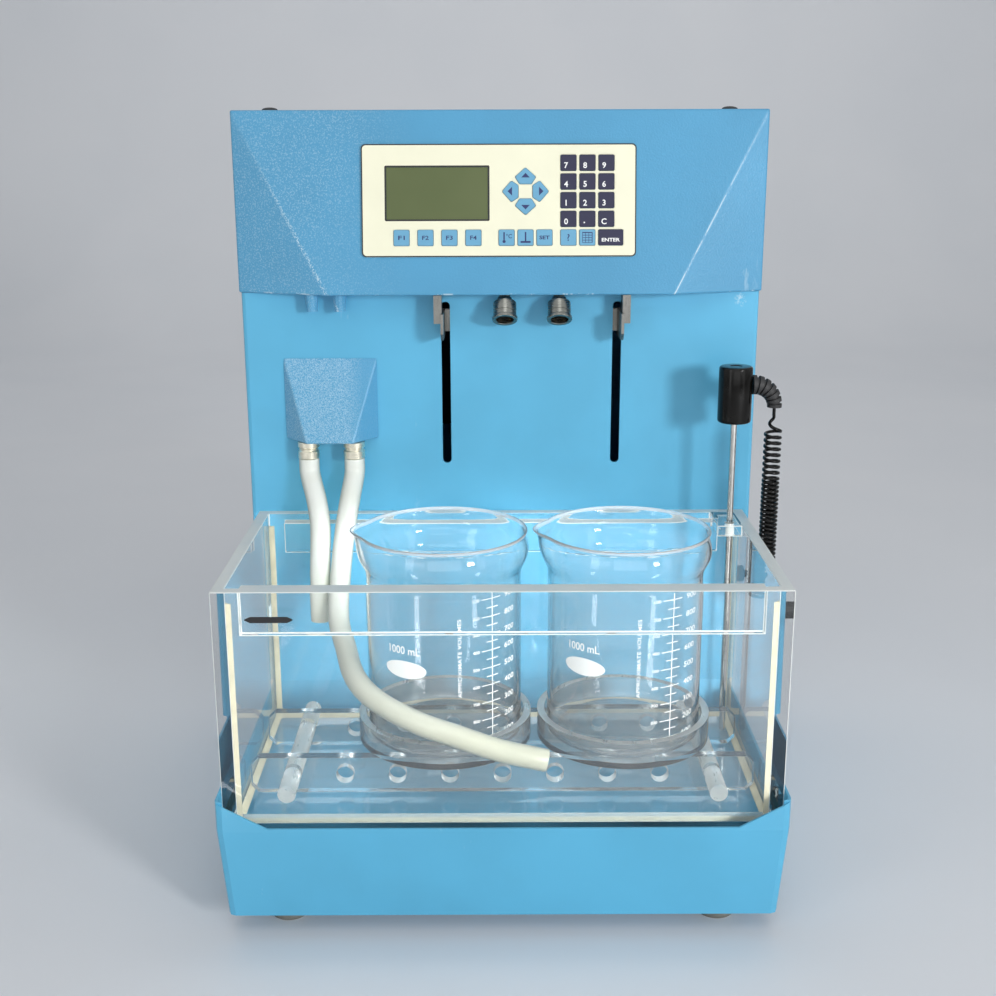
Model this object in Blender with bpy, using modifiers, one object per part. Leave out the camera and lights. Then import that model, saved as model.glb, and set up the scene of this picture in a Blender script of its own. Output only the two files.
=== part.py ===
"""Tablet disintegration tester: a water bath with two beakers, under a tower that lifts the test baskets.

Lengths are in metres. X runs to the right, Y to the rear and Z up. The machine stands on Z = 0, and the
origin is under the middle of its footprint, measured without the curly cord and the hoses.
"""

import math

import bmesh
import bpy
from mathutils import Matrix, Vector

# Clearances that every piece shares
GAP = 0.0003
OVERRUN = 0.004
SINK = 0.0006
MERGE = 0.000001

# Sheet metal base
FOOT_HEIGHT = 0.0147
FOOT_RADIUS = 0.014
FOOT_TAPER = 0.001
FOOT_SIDE = 0.0397
FOOT_FRONT = 0.037
BASE_MARGIN = 0.0028
BASE_HEIGHT = 0.084
BASE_LIP = 0.012
BASE_BEND = 0.064
BASE_TAPER = 0.0038
BASE_FRONT_TAPER = 0.0068
BASE_SHEET = 0.0015
BASE_CORNER = 0.005
BASE_FRONT_HEIGHT = 0.066
BASE_RAMP = 0.033
DECK_RISE = 0.0507
DECK_SHEET = 0.002
SERVICE_MARGIN = 0.072

# Water tank of clear sheet
HOSE_ROOM = 0.0796
PROBE_ROOM = 0.0349
FRONT_ROOM = 0.0323
REAR_ROOM = 0.0312
TANK_HEIGHT = 0.170
TANK_WALL = 0.008
TANK_FLOOR = 0.010
FRONT_RIB_INSET = 0.0169
FRONT_RIB_THICK = 0.006
FRONT_RIB_DROP = 0.030
REAR_RIB_INSET = 0.0204
REAR_RIB_THICK = 0.008
REAR_RIB_TOP = 0.005
REAR_RIB_DROP = 0.023
TAB_WIDTH = 0.0175
TAB_DEPTH = 0.0365
TAB_THICK = 0.008
FLOOR_BEAD = 0.005
CORNER_BEAD = 0.007
BEAD_FLAT = 0.0005
BEAD_TOP = 0.0095

# Beakers and their rack
BEAKER_RADIUS = 0.053
BEAKER_GAP = 0.0183
BEAKER_HEIGHT = 0.145
BEAKER_WALL = 0.0018
BEAKER_FLOOR = 0.0024
BEAKER_HEEL = 0.008
SPOUT_REACH = 0.0066
SPOUT_DROP = 0.020
SPOUT_HALF_ANGLE = math.radians(24)
RAIL_LEAD = 0.0022
RAIL_INSET = 0.0164
RAIL_THICK = 0.008
RAIL_HEIGHT = 0.0251
RAIL_END_GAP = 0.0104
RAIL_CHAMFER = 0.005
RAIL_HOLE_RADIUS = 0.006
RAIL_ROD_INSET = 0.028
RAIL_HOLE_COUNT = 9
CROSS_ROD_OVERHANG = 0.032
DISH_MARGIN = 0.007
DISH_WALL = 0.005
DISH_FLOOR = 0.0021
DISH_HEIGHT = 0.0174

# Tower, its slots and its rear cover
TOWER_OVERHANG = 0.0038
TOWER_DEPTH = 0.170
TOWER_GAP = 0.0059
TOWER_SHEET = 0.002
TOWER_BEND = 0.003
TOWER_RETURN = 0.014
SLOT_WIDTH = 0.0065
SLOT_TOP = 0.1545
SLOT_LENGTH = 0.1195
COVER_SHEET = 0.0015
COVER_MARGIN = 0.006
LOUVRE_COUNT = 8
LOUVRE_PITCH = 0.011
LOUVRE_WIDTH = 0.110
LOUVRE_HEIGHT = 0.0075
LOUVRE_REACH = 0.0025
LOUVRE_SHEET = 0.001
LOUVRE_TOP = 0.022

# Head hood with its leaning face
HOOD_CLEARANCE = 0.1616
HOOD_OVERHANG = 0.00125
HOOD_HEIGHT = 0.1261
HOOD_REACH = 0.0226
HOOD_CHEEK = 0.06585
HOOD_SHEET = 0.0025
HOOD_EDGE = 0.0012
BUMPER_RADIUS = 0.0057
BUMPER_HEIGHT = 0.0022
BUMPER_INSET = 0.0222
BUMPER_BACK = 0.0366
STUD_INSET = 0.0522
STUD_SPACING = 0.020
STUD_BACK = 0.0095
STUD_LENGTH = 0.0125
STUD_RADIUS = 0.005
STUD_TAPER = 0.001

# Sensor sockets under the head
SENSOR_SPACING = 0.0387
SENSOR_BACK = 0.0114
SENSOR_TILT = math.radians(33)
SENSOR_DROP = 0.0034
SENSOR_LENGTH = 0.0173
SENSOR_RADIUS = 0.0082
SENSOR_NECK = 0.0035
SENSOR_NECK_RADIUS = 0.0052
SENSOR_RING = 0.0025
SENSOR_RING_RADIUS = 0.009
SENSOR_BORE_RADIUS = 0.0063
SENSOR_BORE_DEPTH = 0.011
SPIGOT_RADIUS = 0.004
SPIGOT_SINK = 0.0028
PIN_RADIUS = 0.0008
PIN_LENGTH = 0.006
PIN_CIRCLE = 0.0036
PIN_COUNT = 5

# Control panel on the leaning face, measured from the overlay's upper left corner
PANEL_WIDTH = 0.192
PANEL_HEIGHT = 0.0778
PANEL_MIDDLE_X = -0.001
PANEL_DROP = 0.0237
PANEL_CORNER = 0.003
PANEL_THICK = 0.0015
DISPLAY_LEFT = 0.0174
DISPLAY_DROP = 0.0160
DISPLAY_WIDTH = 0.0709
DISPLAY_HEIGHT = 0.0358
DISPLAY_RECESS = 0.0004
KEY_SIZE = 0.0108
KEY_CORNER = 0.0007
KEY_THICK = 0.0015
KEY_TRAVEL = 0.0005
KEY_COLUMN_PITCH = 0.01325
KEY_ROW_PITCH = 0.01285
FIRST_ROW = 0.0132
NUMBER_INSET = 0.0474
ARROW_INSET = 0.0774
ARROW_ROW = 0.0327
FUNCTION_LEFT = 0.0278
FUNCTION_PITCH = 0.01677
ENTER_WIDTH = 0.0171
ARROW_TIP = 0.0162
ARROW_SHOULDER = 0.0099
ARROW_HALF = 0.0072
ARROW_HEEL = 0.0051
ARROW_HEEL_HALF = 0.0041
ARROW_CORNER = 0.0008

# Circulator hood, its two fittings and the hoses
PUMP_HOOD_INSET = 0.0627
PUMP_HOOD_WIDTH = 0.0685
PUMP_HOOD_BOTTOM = 0.0545
PUMP_HOOD_HEIGHT = 0.0599
PUMP_HOOD_REACH = 0.022
PUMP_HOOD_FACE_WIDTH = 0.0335
PUMP_HOOD_EDGE = 0.0008
FITTING_RADIUS = 0.00775
FITTING_LENGTH = 0.0122
FITTING_SPACING = 0.0334
FITTING_GROOVE = 0.0008
MANIFOLD_HALF = 0.003
MANIFOLD_HEIGHT = 0.006
HOSE_RADIUS = 0.0075
HOSE_LEAD = 0.004

# Lift drive inside the tower
LIFT_STROKE = 0.090
FRAME_END_GAP = 0.01415
FRAME_PLATE = 0.003
FRAME_TOP = 0.152
FRAME_BOTTOM = 0.020
FRAME_FLANGE = 0.008
FRAME_DEPTH = 0.052
ROD_END_GAP = 0.02815
GUIDE_RADIUS = 0.004
DRIVE_BACK = 0.0275
SCREW_RADIUS = 0.005
COUPLING_RADIUS = 0.009
COUPLING_LENGTH = 0.010
MOTOR_SIZE = 0.042
MOTOR_HEIGHT = 0.040
MOTOR_EDGE = 0.003
MOTOR_PILOT_RADIUS = 0.011
CARRIAGE_TOP = 0.139
CARRIAGE_HEIGHT = 0.012
CARRIAGE_REAR = 0.036
CARRIAGE_END_GAP = 0.01915
BEAM_BACK = 0.010
BEAM_THICK = 0.005
BEAM_HEIGHT = 0.016
HANGER_THICK = 0.002
HANGER_TOP = 0.1485
HANGER_HEIGHT = 0.019
HANGER_REACH = 0.0264
HANGER_CHAMFER = 0.005
HANGER_SIDE = 0.0017
FLAG_THICK = 0.0051
FLAG_RISE = 0.0125
FLAG_HEIGHT = 0.020
FLAG_FRONT = 0.0185
FLAG_REAR = 0.003

# Temperature probe and its curly cord
PROBE_WALL_GAP = 0.0076
PROBE_REAR_GAP = 0.0275
PROBE_RADIUS = 0.00225
PROBE_HOLE_RADIUS = 0.0031
HANDLE_RADIUS = 0.0118
HANDLE_BOTTOM = 0.074
HANDLE_LENGTH = 0.040
HANDLE_EDGE = 0.0018
BOOT_HEIGHT = 0.1007
BOOT_RADIUS = 0.007
BOOT_END_RADIUS = 0.0052
BOOT_BEND = 0.015
BOOT_LEAD = 0.001
BOOT_RIB = 0.0008
BOOT_RIB_COUNT = 6
CORD_RADIUS = 0.0012
COIL_RADIUS = 0.0053
COIL_TOP = 0.067
LOOSE_TURNS = 8
LOOSE_PITCH = 0.0043
CLOSE_TURNS = 28
CLOSE_PITCH = 0.0031
POINTS_PER_TURN = 8
PLUG_BACK = 0.0466
PLUG_DROP = 0.068
PLUG_COLLAR_RADIUS = 0.008
PLUG_COLLAR = 0.005
PLUG_RADIUS = 0.0065
PLUG_LENGTH = 0.013
PLUG_RELIEF = 0.018
PLUG_RELIEF_RADIUS = 0.0022

# Mains inlet and rocker switch on the rear cover
INLET_INSET = 0.069
INLET_DROP = 0.078
INLET_WIDTH = 0.032
INLET_HEIGHT = 0.058
INLET_FLANGE = 0.003
INLET_BODY_MARGIN = 0.003
INLET_BODY_DEPTH = 0.022
INLET_CORNER = 0.003
SOCKET_WIDTH = 0.0245
SOCKET_HEIGHT = 0.0165
SOCKET_DEPTH = 0.0165
SOCKET_SHIFT = 0.0135
SOCKET_CHAMFER = 0.004
BLADE_THICK = 0.002
BLADE_HEIGHT = 0.004
BLADE_LENGTH = 0.0105
BLADE_SPACING = 0.007
BLADE_RISE = 0.002
ROCKER_SHIFT = 0.0145
ROCKER_WIDTH = 0.013
ROCKER_LENGTH = 0.0186
ROCKER_RISE = 0.0030
ROCKER_VALLEY = 0.0012
ROCKER_DEPTH = 0.0050
ROCKER_TILT = math.radians(10)
ROCKER_PIVOT = 0.0015
ROCKER_POCKET = 0.0075
ROCKER_END_GAP = 0.0010

# Facets of round pieces
FINE = 32
ROUND = 20
SMALL = 12
PIN_SIDES = 6
CORNER_STEPS = 2

# Heights worked out from the sizes above
BASE_BOTTOM = FOOT_HEIGHT + GAP
BASE_TOP = BASE_BOTTOM + BASE_HEIGHT
DECK_TOP = BASE_BOTTOM + DECK_RISE
TANK_BOTTOM = DECK_TOP + GAP
TANK_INSIDE_BOTTOM = TANK_BOTTOM + TANK_FLOOR
RIM = TANK_BOTTOM + TANK_HEIGHT
TOWER_BOTTOM = BASE_TOP + GAP
HOOD_BOTTOM = RIM + HOOD_CLEARANCE
HOOD_TOP = HOOD_BOTTOM + HOOD_HEIGHT
TOWER_TOP = HOOD_BOTTOM - GAP
RAIL_BOTTOM = TANK_INSIDE_BOTTOM + GAP
RAIL_TOP = RAIL_BOTTOM + RAIL_HEIGHT
BEAKER_BOTTOM = RAIL_TOP + DISH_FLOOR + GAP

# Widths worked out from the room that each beaker, hose and probe needs
TANK_WIDTH = 2 * TANK_WALL + HOSE_ROOM + 4 * BEAKER_RADIUS + BEAKER_GAP + PROBE_ROOM
TANK_DEPTH = 2 * TANK_WALL + FRONT_ROOM + 2 * BEAKER_RADIUS + REAR_ROOM
BASE_WIDTH = TANK_WIDTH + 2 * BASE_MARGIN
TOWER_WIDTH = BASE_WIDTH + 2 * TOWER_OVERHANG
HOOD_WIDTH = TOWER_WIDTH + 2 * HOOD_OVERHANG
HOOD_FACE_WIDTH = HOOD_WIDTH - 2 * HOOD_CHEEK
STATION_LEFT_X = -TANK_WIDTH / 2 + TANK_WALL + HOSE_ROOM + BEAKER_RADIUS
STATION_RIGHT_X = STATION_LEFT_X + 2 * BEAKER_RADIUS + BEAKER_GAP
DRIVE_X = (STATION_LEFT_X + STATION_RIGHT_X) / 2
DRIVE_SIDE = (STATION_RIGHT_X - STATION_LEFT_X) / 2
FRAME_HALF_WIDTH = DRIVE_SIDE - FRAME_END_GAP
CARRIAGE_HALF_WIDTH = DRIVE_SIDE - CARRIAGE_END_GAP
ROD_SPREAD = DRIVE_SIDE - ROD_END_GAP
FRONT_RIB_WIDTH = TANK_WIDTH - 2 * FRONT_RIB_INSET
REAR_RIB_WIDTH = TANK_WIDTH - 2 * REAR_RIB_INSET
RAIL_LENGTH = TANK_WIDTH - 2 * RAIL_END_GAP
RAIL_HOLE_PITCH = (RAIL_LENGTH - 2 * RAIL_ROD_INSET) / (RAIL_HOLE_COUNT - 1)
DISH_RADIUS = BEAKER_RADIUS + DISH_MARGIN
PUMP_HOOD_X = PUMP_HOOD_INSET - TOWER_WIDTH / 2
STUD_LEFT_X = STUD_INSET - TOWER_WIDTH / 2
INLET_X = INLET_INSET - TOWER_WIDTH / 2
NUMBER_LEFT = PANEL_WIDTH - NUMBER_INSET
ARROW_MIDDLE = PANEL_WIDTH - ARROW_INSET

# Places from front to rear
ROCKER_STAND = (
    ROCKER_RISE * math.cos(ROCKER_TILT) + ROCKER_LENGTH / 2 * math.sin(ROCKER_TILT) - ROCKER_PIVOT
)
INLET_STAND = INLET_FLANGE + ROCKER_STAND
MACHINE_DEPTH = BASE_LIP + TANK_DEPTH + TOWER_GAP + TOWER_DEPTH + COVER_SHEET + GAP + GAP + INLET_STAND
BASE_FRONT = -MACHINE_DEPTH / 2
TANK_FRONT = BASE_FRONT + BASE_LIP
TANK_REAR = TANK_FRONT + TANK_DEPTH
TOWER_FRONT = TANK_REAR + TOWER_GAP
TOWER_REAR = TOWER_FRONT + TOWER_DEPTH
BASE_REAR = TOWER_REAR - (TOWER_WIDTH - BASE_WIDTH) / 2
COVER_FRONT = TOWER_REAR + GAP
COVER_REAR = COVER_FRONT + COVER_SHEET
STATION_Y = TANK_FRONT + TANK_WALL + FRONT_ROOM + BEAKER_RADIUS
STATIONS = {"left": STATION_LEFT_X, "right": STATION_RIGHT_X}
SENSORS = {"left": DRIVE_X - SENSOR_SPACING / 2, "right": DRIVE_X + SENSOR_SPACING / 2}
RAIL_SPACING = 2 * (BEAKER_RADIUS - RAIL_INSET)
RAIL_FRONT_Y = STATION_Y - RAIL_SPACING / 2 - RAIL_LEAD
DRIVE_Y = TOWER_FRONT + DRIVE_BACK
PROBE_X = TANK_WIDTH / 2 - TANK_WALL - PROBE_WALL_GAP
PROBE_Y = TANK_REAR - TANK_WALL - PROBE_REAR_GAP
FITTING_Y = TOWER_FRONT - PUMP_HOOD_REACH / 2
PLUG_X = TOWER_WIDTH / 2 + GAP
PLUG_Y = TOWER_FRONT + PLUG_BACK
PLUG_Z = RIM - PLUG_DROP
COIL_X = PROBE_X + HANDLE_RADIUS + GAP + BOOT_LEAD + BOOT_BEND

# The face of the head leans back, and its own frame has X to the right, Y up the slope and Z outward
FACE_TILT = math.atan2(HOOD_REACH, HOOD_HEIGHT)

# How far a beaker's side stands out at each drop below its rim
BEAKER_SHOULDER = (
    (0.000, 0.0044),
    (0.003, 0.0036),
    (0.006, 0.0038),
    (0.010, 0.0048),
    (0.014, 0.0053),
    (0.018, 0.0047),
    (0.022, 0.0028),
    (0.026, 0.0009),
    (0.030, 0.0000),
)

# Upper routes of the two hoses. X is from the circulator's middle, Y from the tank's rear, Z from its rim
SUCTION_ROUTE = (
    (-0.0160, -0.0070, 0.0290),
    (-0.0105, -0.0185, 0.0125),
    (-0.0073, -0.0280, -0.0060),
    (-0.0080, -0.0335, -0.0390),
    (-0.0075, -0.0355, -0.0720),
)
RETURN_ROUTE = (
    (0.0164, -0.0070, 0.0290),
    (0.0135, -0.0190, 0.0120),
    (0.0107, -0.0290, -0.0070),
    (0.0073, -0.0395, -0.0400),
)

# The return hose's lower route. X is from the circulator's middle, Y from the tank's front, Z from its floor
RETURN_END = (
    (0.0078, 0.1300, 0.0950),
    (0.0153, 0.1040, 0.0820),
    (0.0218, 0.0790, 0.0760),
    (0.0313, 0.0590, 0.0715),
    (0.0468, 0.0425, 0.0665),
    (0.0703, 0.0280, 0.0605),
    (0.0943, 0.0240, 0.0535),
    (0.1223, 0.0235, 0.0435),
    (0.1533, 0.0240, 0.0360),
)

# Route of the straight end of the curly cord, from the coil's lower end: X from the coil's axis, Y, Z
TAIL_ROUTE = (
    (0.0055, 0.0075, -0.0012),
    (0.0062, 0.0250, -0.0060),
    (0.0108, 0.0480, -0.0110),
    (0.0187, 0.0660, -0.0120),
    (0.0237, 0.0780, -0.0110),
)

# Colour, roughness, metallic value and transmission
LOOKS = {
    "base_blue": ((0.122, 0.440, 0.708), 0.40, 0.0, 0.0),
    "tower_blue": ((0.138, 0.479, 0.775), 0.40, 0.0, 0.0),
    "hood_blue": ((0.109, 0.366, 0.665), 0.55, 0.0, 0.0),
    "rubber": ((0.020, 0.020, 0.022), 0.70, 0.0, 0.0),
    "foot": ((0.090, 0.090, 0.070), 0.70, 0.0, 0.0),
    "steel": ((0.620, 0.620, 0.630), 0.30, 1.0, 0.0),
    "nickel": ((0.660, 0.640, 0.600), 0.22, 1.0, 0.0),
    "cream": ((0.956, 0.913, 0.745), 0.45, 0.0, 0.0),
    "display": ((0.136, 0.168, 0.072), 0.15, 0.0, 0.0),
    "navy": ((0.026, 0.024, 0.089), 0.45, 0.0, 0.0),
    "light_blue": ((0.162, 0.434, 0.716), 0.45, 0.0, 0.0),
    "clear_sheet": ((0.900, 0.930, 0.950), 0.05, 0.0, 0.9),
    "silicone": ((0.820, 0.760, 0.520), 0.50, 0.0, 0.0),
    "glass": ((0.950, 0.960, 0.960), 0.03, 0.0, 0.95),
    "hose": ((0.800, 0.800, 0.760), 0.35, 0.0, 0.4),
    "black": ((0.015, 0.015, 0.016), 0.45, 0.0, 0.0),
    "motor": ((0.015, 0.015, 0.016), 0.45, 0.0, 0.0),
    "zinc": ((0.500, 0.500, 0.510), 0.40, 1.0, 0.0),
}


def new_collection(name):
    collection = bpy.data.collections.new(name)
    bpy.context.scene.collection.children.link(collection)
    return collection


def frame_at(origin, x_axis, y_axis):
    """The matrix of a frame whose Z axis is square to the two that are given."""
    x_axis = Vector(x_axis).normalized()
    y_axis = Vector(y_axis).normalized()
    axes = Matrix((x_axis, y_axis, x_axis.cross(y_axis))).transposed()
    return Matrix.Translation(origin) @ axes.to_4x4()


def upright(x, y, z):
    return Matrix.Translation((x, y, z))


def facing_front(x, y, z):
    """Outlines are drawn in X and Z, and grow towards the front."""
    return frame_at((x, y, z), (1, 0, 0), (0, 0, 1))


def facing_rear(x, y, z):
    """Outlines are drawn in minus X and Z, and grow towards the rear."""
    return frame_at((x, y, z), (-1, 0, 0), (0, 0, 1))


def facing_right(x, y, z):
    """Outlines are drawn in Y and Z, and grow to the right."""
    return frame_at((x, y, z), (0, 1, 0), (0, 0, 1))


def new_object(name, mesh, place):
    piece = bpy.data.objects.new(name, mesh)
    piece.matrix_world = place
    PARTS.objects.link(piece)
    return piece


def shade_round(mesh):
    mesh.shade_smooth()
    mesh.set_sharp_from_angle(angle=math.radians(35))


def mesh_from(name, shape):
    mesh = bpy.data.meshes.new(name)
    shape.to_mesh(mesh)
    shape.free()
    return mesh


def box(name, low, high):
    """A box between two corners, with its origin in its middle."""
    low, high = Vector(low), Vector(high)
    shape = bmesh.new()
    bmesh.ops.create_cube(shape, size=1)
    bmesh.ops.scale(shape, vec=high - low, verts=shape.verts)
    return new_object(name, mesh_from(name, shape), Matrix.Translation((low + high) / 2))


def cylinder(name, radius, length, place, segments=ROUND, top_radius=None):
    """A cylinder or cone that grows from the place along its Z axis."""
    shape = bmesh.new()
    end = radius if top_radius is None else top_radius
    bmesh.ops.create_cone(
        shape, cap_ends=True, segments=segments, radius1=radius, radius2=end, depth=length
    )
    bmesh.ops.translate(shape, vec=(0, 0, length / 2), verts=shape.verts)
    mesh = mesh_from(name, shape)
    shade_round(mesh)
    return new_object(name, mesh, place)


def baked_mesh(piece):
    """The mesh that an object's curve or modifiers make, with loose caps welded."""
    bpy.context.view_layer.update()
    evaluated = piece.evaluated_get(bpy.context.evaluated_depsgraph_get())
    mesh = bpy.data.meshes.new_from_object(evaluated)
    shape = bmesh.new()
    shape.from_mesh(mesh)
    bmesh.ops.remove_doubles(shape, verts=shape.verts, dist=MERGE)
    shape.to_mesh(mesh)
    shape.free()
    return mesh


def replaced_by_mesh(piece):
    name, place, source = piece.name, piece.matrix_world.copy(), piece.data
    mesh = baked_mesh(piece)
    bpy.data.objects.remove(piece)
    if isinstance(source, bpy.types.Curve):
        bpy.data.curves.remove(source)
    mesh.name = name
    return new_object(name, mesh, place)


def prism(name, outlines, thickness, place):
    """Flat outlines, grown along the place's Z axis. One outline inside another is a hole."""
    curve = bpy.data.curves.new(name, "CURVE")
    curve.dimensions = "2D"
    curve.fill_mode = "BOTH"
    curve.extrude = thickness / 2
    for outline in outlines:
        spline = curve.splines.new("POLY")
        spline.points.add(len(outline) - 1)
        spline.use_cyclic_u = True
        for point, (x, y) in zip(spline.points, outline):
            point.co = (x, y, 0, 1)
    piece = replaced_by_mesh(new_object(name, curve, Matrix.Identity(4)))
    piece.data.transform(Matrix.Translation((0, 0, thickness / 2)))
    piece.matrix_world = place
    return piece


def rounded(points, radius, steps=CORNER_STEPS):
    """An outline with an arc at each corner. A list gives each corner its own radius."""
    radii = radius if isinstance(radius, (list, tuple)) else [radius] * len(points)
    outline = []
    for index, point in enumerate(points):
        corner = Vector(point)
        before = (Vector(points[index - 1]) - corner).normalized()
        after = (Vector(points[(index + 1) % len(points)]) - corner).normalized()
        half = before.angle(after) / 2
        centre = corner + (before + after).normalized() * (radii[index] / math.sin(half))
        reach = radii[index] / math.tan(half)
        start = corner + before * reach - centre
        end = corner + after * reach - centre
        first = math.atan2(start.y, start.x)
        sweep = math.atan2(start.x * end.y - start.y * end.x, start.dot(end))
        for step in range(steps + 1):
            angle = first + sweep * step / steps
            arm = Vector((math.cos(angle), math.sin(angle))) * radii[index]
            outline.append(tuple(centre + arm))
    return outline


def rectangle(left, right, bottom, top):
    return [(left, bottom), (right, bottom), (right, top), (left, top)]


def middle_rectangle(width, height, x=0.0, y=0.0):
    return rectangle(x - width / 2, x + width / 2, y - height / 2, y + height / 2)


def turned(name, profile, place, segments=ROUND):
    """A turned shape. Its profile, in radius and height, runs down the outer side."""
    mesh = bpy.data.meshes.new(name)
    edges = [(index, index + 1) for index in range(len(profile) - 1)]
    mesh.from_pydata([(radius, 0, height) for radius, height in profile], edges, [])
    piece = new_object(name, mesh, place)
    screw = piece.modifiers.new("turn", "SCREW")
    screw.steps = segments
    screw.render_steps = segments
    screw.use_merge_vertices = True
    screw.merge_threshold = MERGE
    piece = replaced_by_mesh(piece)
    shade_round(piece.data)
    return piece


def lofted(name, rings):
    """A solid through outlines of equal count, each a list of points, from bottom to top."""
    shape = bmesh.new()
    rows = [[shape.verts.new(point) for point in ring] for ring in rings]
    count = len(rings[0])
    shape.faces.new(list(reversed(rows[0])))
    shape.faces.new(rows[-1])
    for low, high in zip(rows, rows[1:]):
        for index in range(count):
            after = (index + 1) % count
            shape.faces.new((low[index], low[after], high[after], high[index]))
    mesh = mesh_from(name, shape)
    return new_object(name, mesh, Matrix.Identity(4))


def faceted(name, points):
    """The convex solid with the given corners."""
    shape = bmesh.new()
    for point in points:
        shape.verts.new(point)
    bmesh.ops.convex_hull(shape, input=shape.verts)
    bmesh.ops.dissolve_limit(
        shape, angle_limit=math.radians(1), verts=shape.verts, edges=shape.edges
    )
    bmesh.ops.recalc_face_normals(shape, faces=shape.faces)
    return new_object(name, mesh_from(name, shape), Matrix.Identity(4))


def tube(name, points, radius, resolution, shares=None):
    """A round bar along a line of points, whose radius may change by a share at each."""
    curve = bpy.data.curves.new(name, "CURVE")
    curve.dimensions = "3D"
    curve.bevel_depth = radius
    curve.bevel_resolution = resolution
    curve.use_fill_caps = True
    spline = curve.splines.new("POLY")
    spline.points.add(len(points) - 1)
    for index, point in enumerate(points):
        spline.points[index].co = (*point, 1)
        spline.points[index].radius = 1 if shares is None else shares[index]
    piece = replaced_by_mesh(new_object(name, curve, Matrix.Identity(4)))
    shade_round(piece.data)
    return piece


def smooth_route(points, steps):
    """Points on a smooth curve through the given ones."""
    knots = [Vector(point) for point in points]
    knots = [2 * knots[0] - knots[1], *knots, 2 * knots[-1] - knots[-2]]
    route = []
    for before, start, end, after in zip(knots, knots[1:], knots[2:], knots[3:]):
        for step in range(steps):
            share = step / steps
            lead = (end - before) * share
            bend = (2 * before - 5 * start + 4 * end - after) * share**2
            twist = (3 * start - before - 3 * end + after) * share**3
            route.append(start + (lead + bend + twist) / 2)
    return [*route, knots[-2]]


def bevelled(piece, width, segments=CORNER_STEPS):
    bevel = piece.modifiers.new("rounded edges", "BEVEL")
    bevel.width = width
    bevel.segments = segments
    bevel.limit_method = "ANGLE"
    bevel.angle_limit = math.radians(15)
    return piece


def with_tool(piece, tool, operation):
    PARTS.objects.unlink(tool)
    CUTTERS.objects.link(tool)
    tool.hide_render = True
    tool.display_type = "WIRE"
    modifier = piece.modifiers.new(tool.name, "BOOLEAN")
    modifier.operation = operation
    modifier.solver = "EXACT"
    modifier.object = tool


def cut(piece, *tools):
    for tool in tools:
        with_tool(piece, tool, "DIFFERENCE")


def fuse(piece, *tools):
    for tool in tools:
        with_tool(piece, tool, "UNION")


def painted(piece, look):
    colour, roughness, metallic, transmission = LOOKS[look]
    material = bpy.data.materials.new(piece.name)
    material.use_nodes = True
    shader = material.node_tree.nodes["Principled BSDF"]
    shader.inputs["Base Color"].default_value = (*colour, 1)
    shader.inputs["Roughness"].default_value = roughness
    shader.inputs["Metallic"].default_value = metallic
    shader.inputs["Transmission Weight"].default_value = transmission
    piece.data.materials.clear()
    piece.data.materials.append(material)
    return piece


def base_ring(height, inset):
    """The base's rounded outline at a height above its bottom. It tapers in below the bend."""
    share = min(height / BASE_BEND, 1)
    side = BASE_WIDTH / 2 - BASE_TAPER * (1 - share) - inset
    front = BASE_FRONT + BASE_FRONT_TAPER * (1 - share) + inset
    rear = BASE_REAR - BASE_TAPER * (1 - share) - inset
    outline = rounded(rectangle(-side, side, front, rear), BASE_CORNER)
    return [(x, y, BASE_BOTTOM + height) for x, y in outline]


def make_base():
    tray = lofted("base_tray", [base_ring(height, 0) for height in (0, BASE_BEND, BASE_HEIGHT)])
    well_heights = (DECK_RISE, BASE_BEND, BASE_HEIGHT + OVERRUN)
    well = lofted("base_well", [base_ring(height, BASE_SHEET) for height in well_heights])
    bay_heights = (BASE_SHEET, DECK_RISE - DECK_SHEET)
    bay = lofted("base_bay", [base_ring(height, BASE_SHEET) for height in bay_heights])
    side = BASE_WIDTH / 2
    level = side - BASE_RAMP
    top = BASE_HEIGHT + OVERRUN
    dip = [
        (-level, BASE_FRONT_HEIGHT),
        (level, BASE_FRONT_HEIGHT),
        (side, BASE_HEIGHT),
        (side, top),
        (-side, top),
        (-side, BASE_HEIGHT),
    ]
    dip_place = facing_front(0, BASE_FRONT + BASE_SHEET + SINK, BASE_BOTTOM)
    front_dip = prism("base_front_dip", [dip], BASE_SHEET + SINK + OVERRUN, dip_place)
    service_side = BASE_WIDTH / 2 - SERVICE_MARGIN
    service = box(
        "base_service_opening",
        (-service_side, BASE_FRONT + SERVICE_MARGIN, BASE_BOTTOM - OVERRUN),
        (service_side, BASE_REAR - SERVICE_MARGIN, BASE_BOTTOM + BASE_SHEET + SINK),
    )
    cut(tray, well, bay, front_dip, service)
    painted(tray, "base_blue")


def make_feet():
    side = BASE_WIDTH / 2 - FOOT_SIDE
    rows = {"front": BASE_FRONT + FOOT_FRONT, "rear": BASE_REAR - FOOT_FRONT}
    for row, y in rows.items():
        for end, x in (("left", -side), ("right", side)):
            foot = cylinder(
                f"foot_{row}_{end}",
                FOOT_RADIUS - FOOT_TAPER,
                FOOT_HEIGHT,
                upright(x, y, 0),
                top_radius=FOOT_RADIUS,
            )
            painted(foot, "foot")


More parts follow.
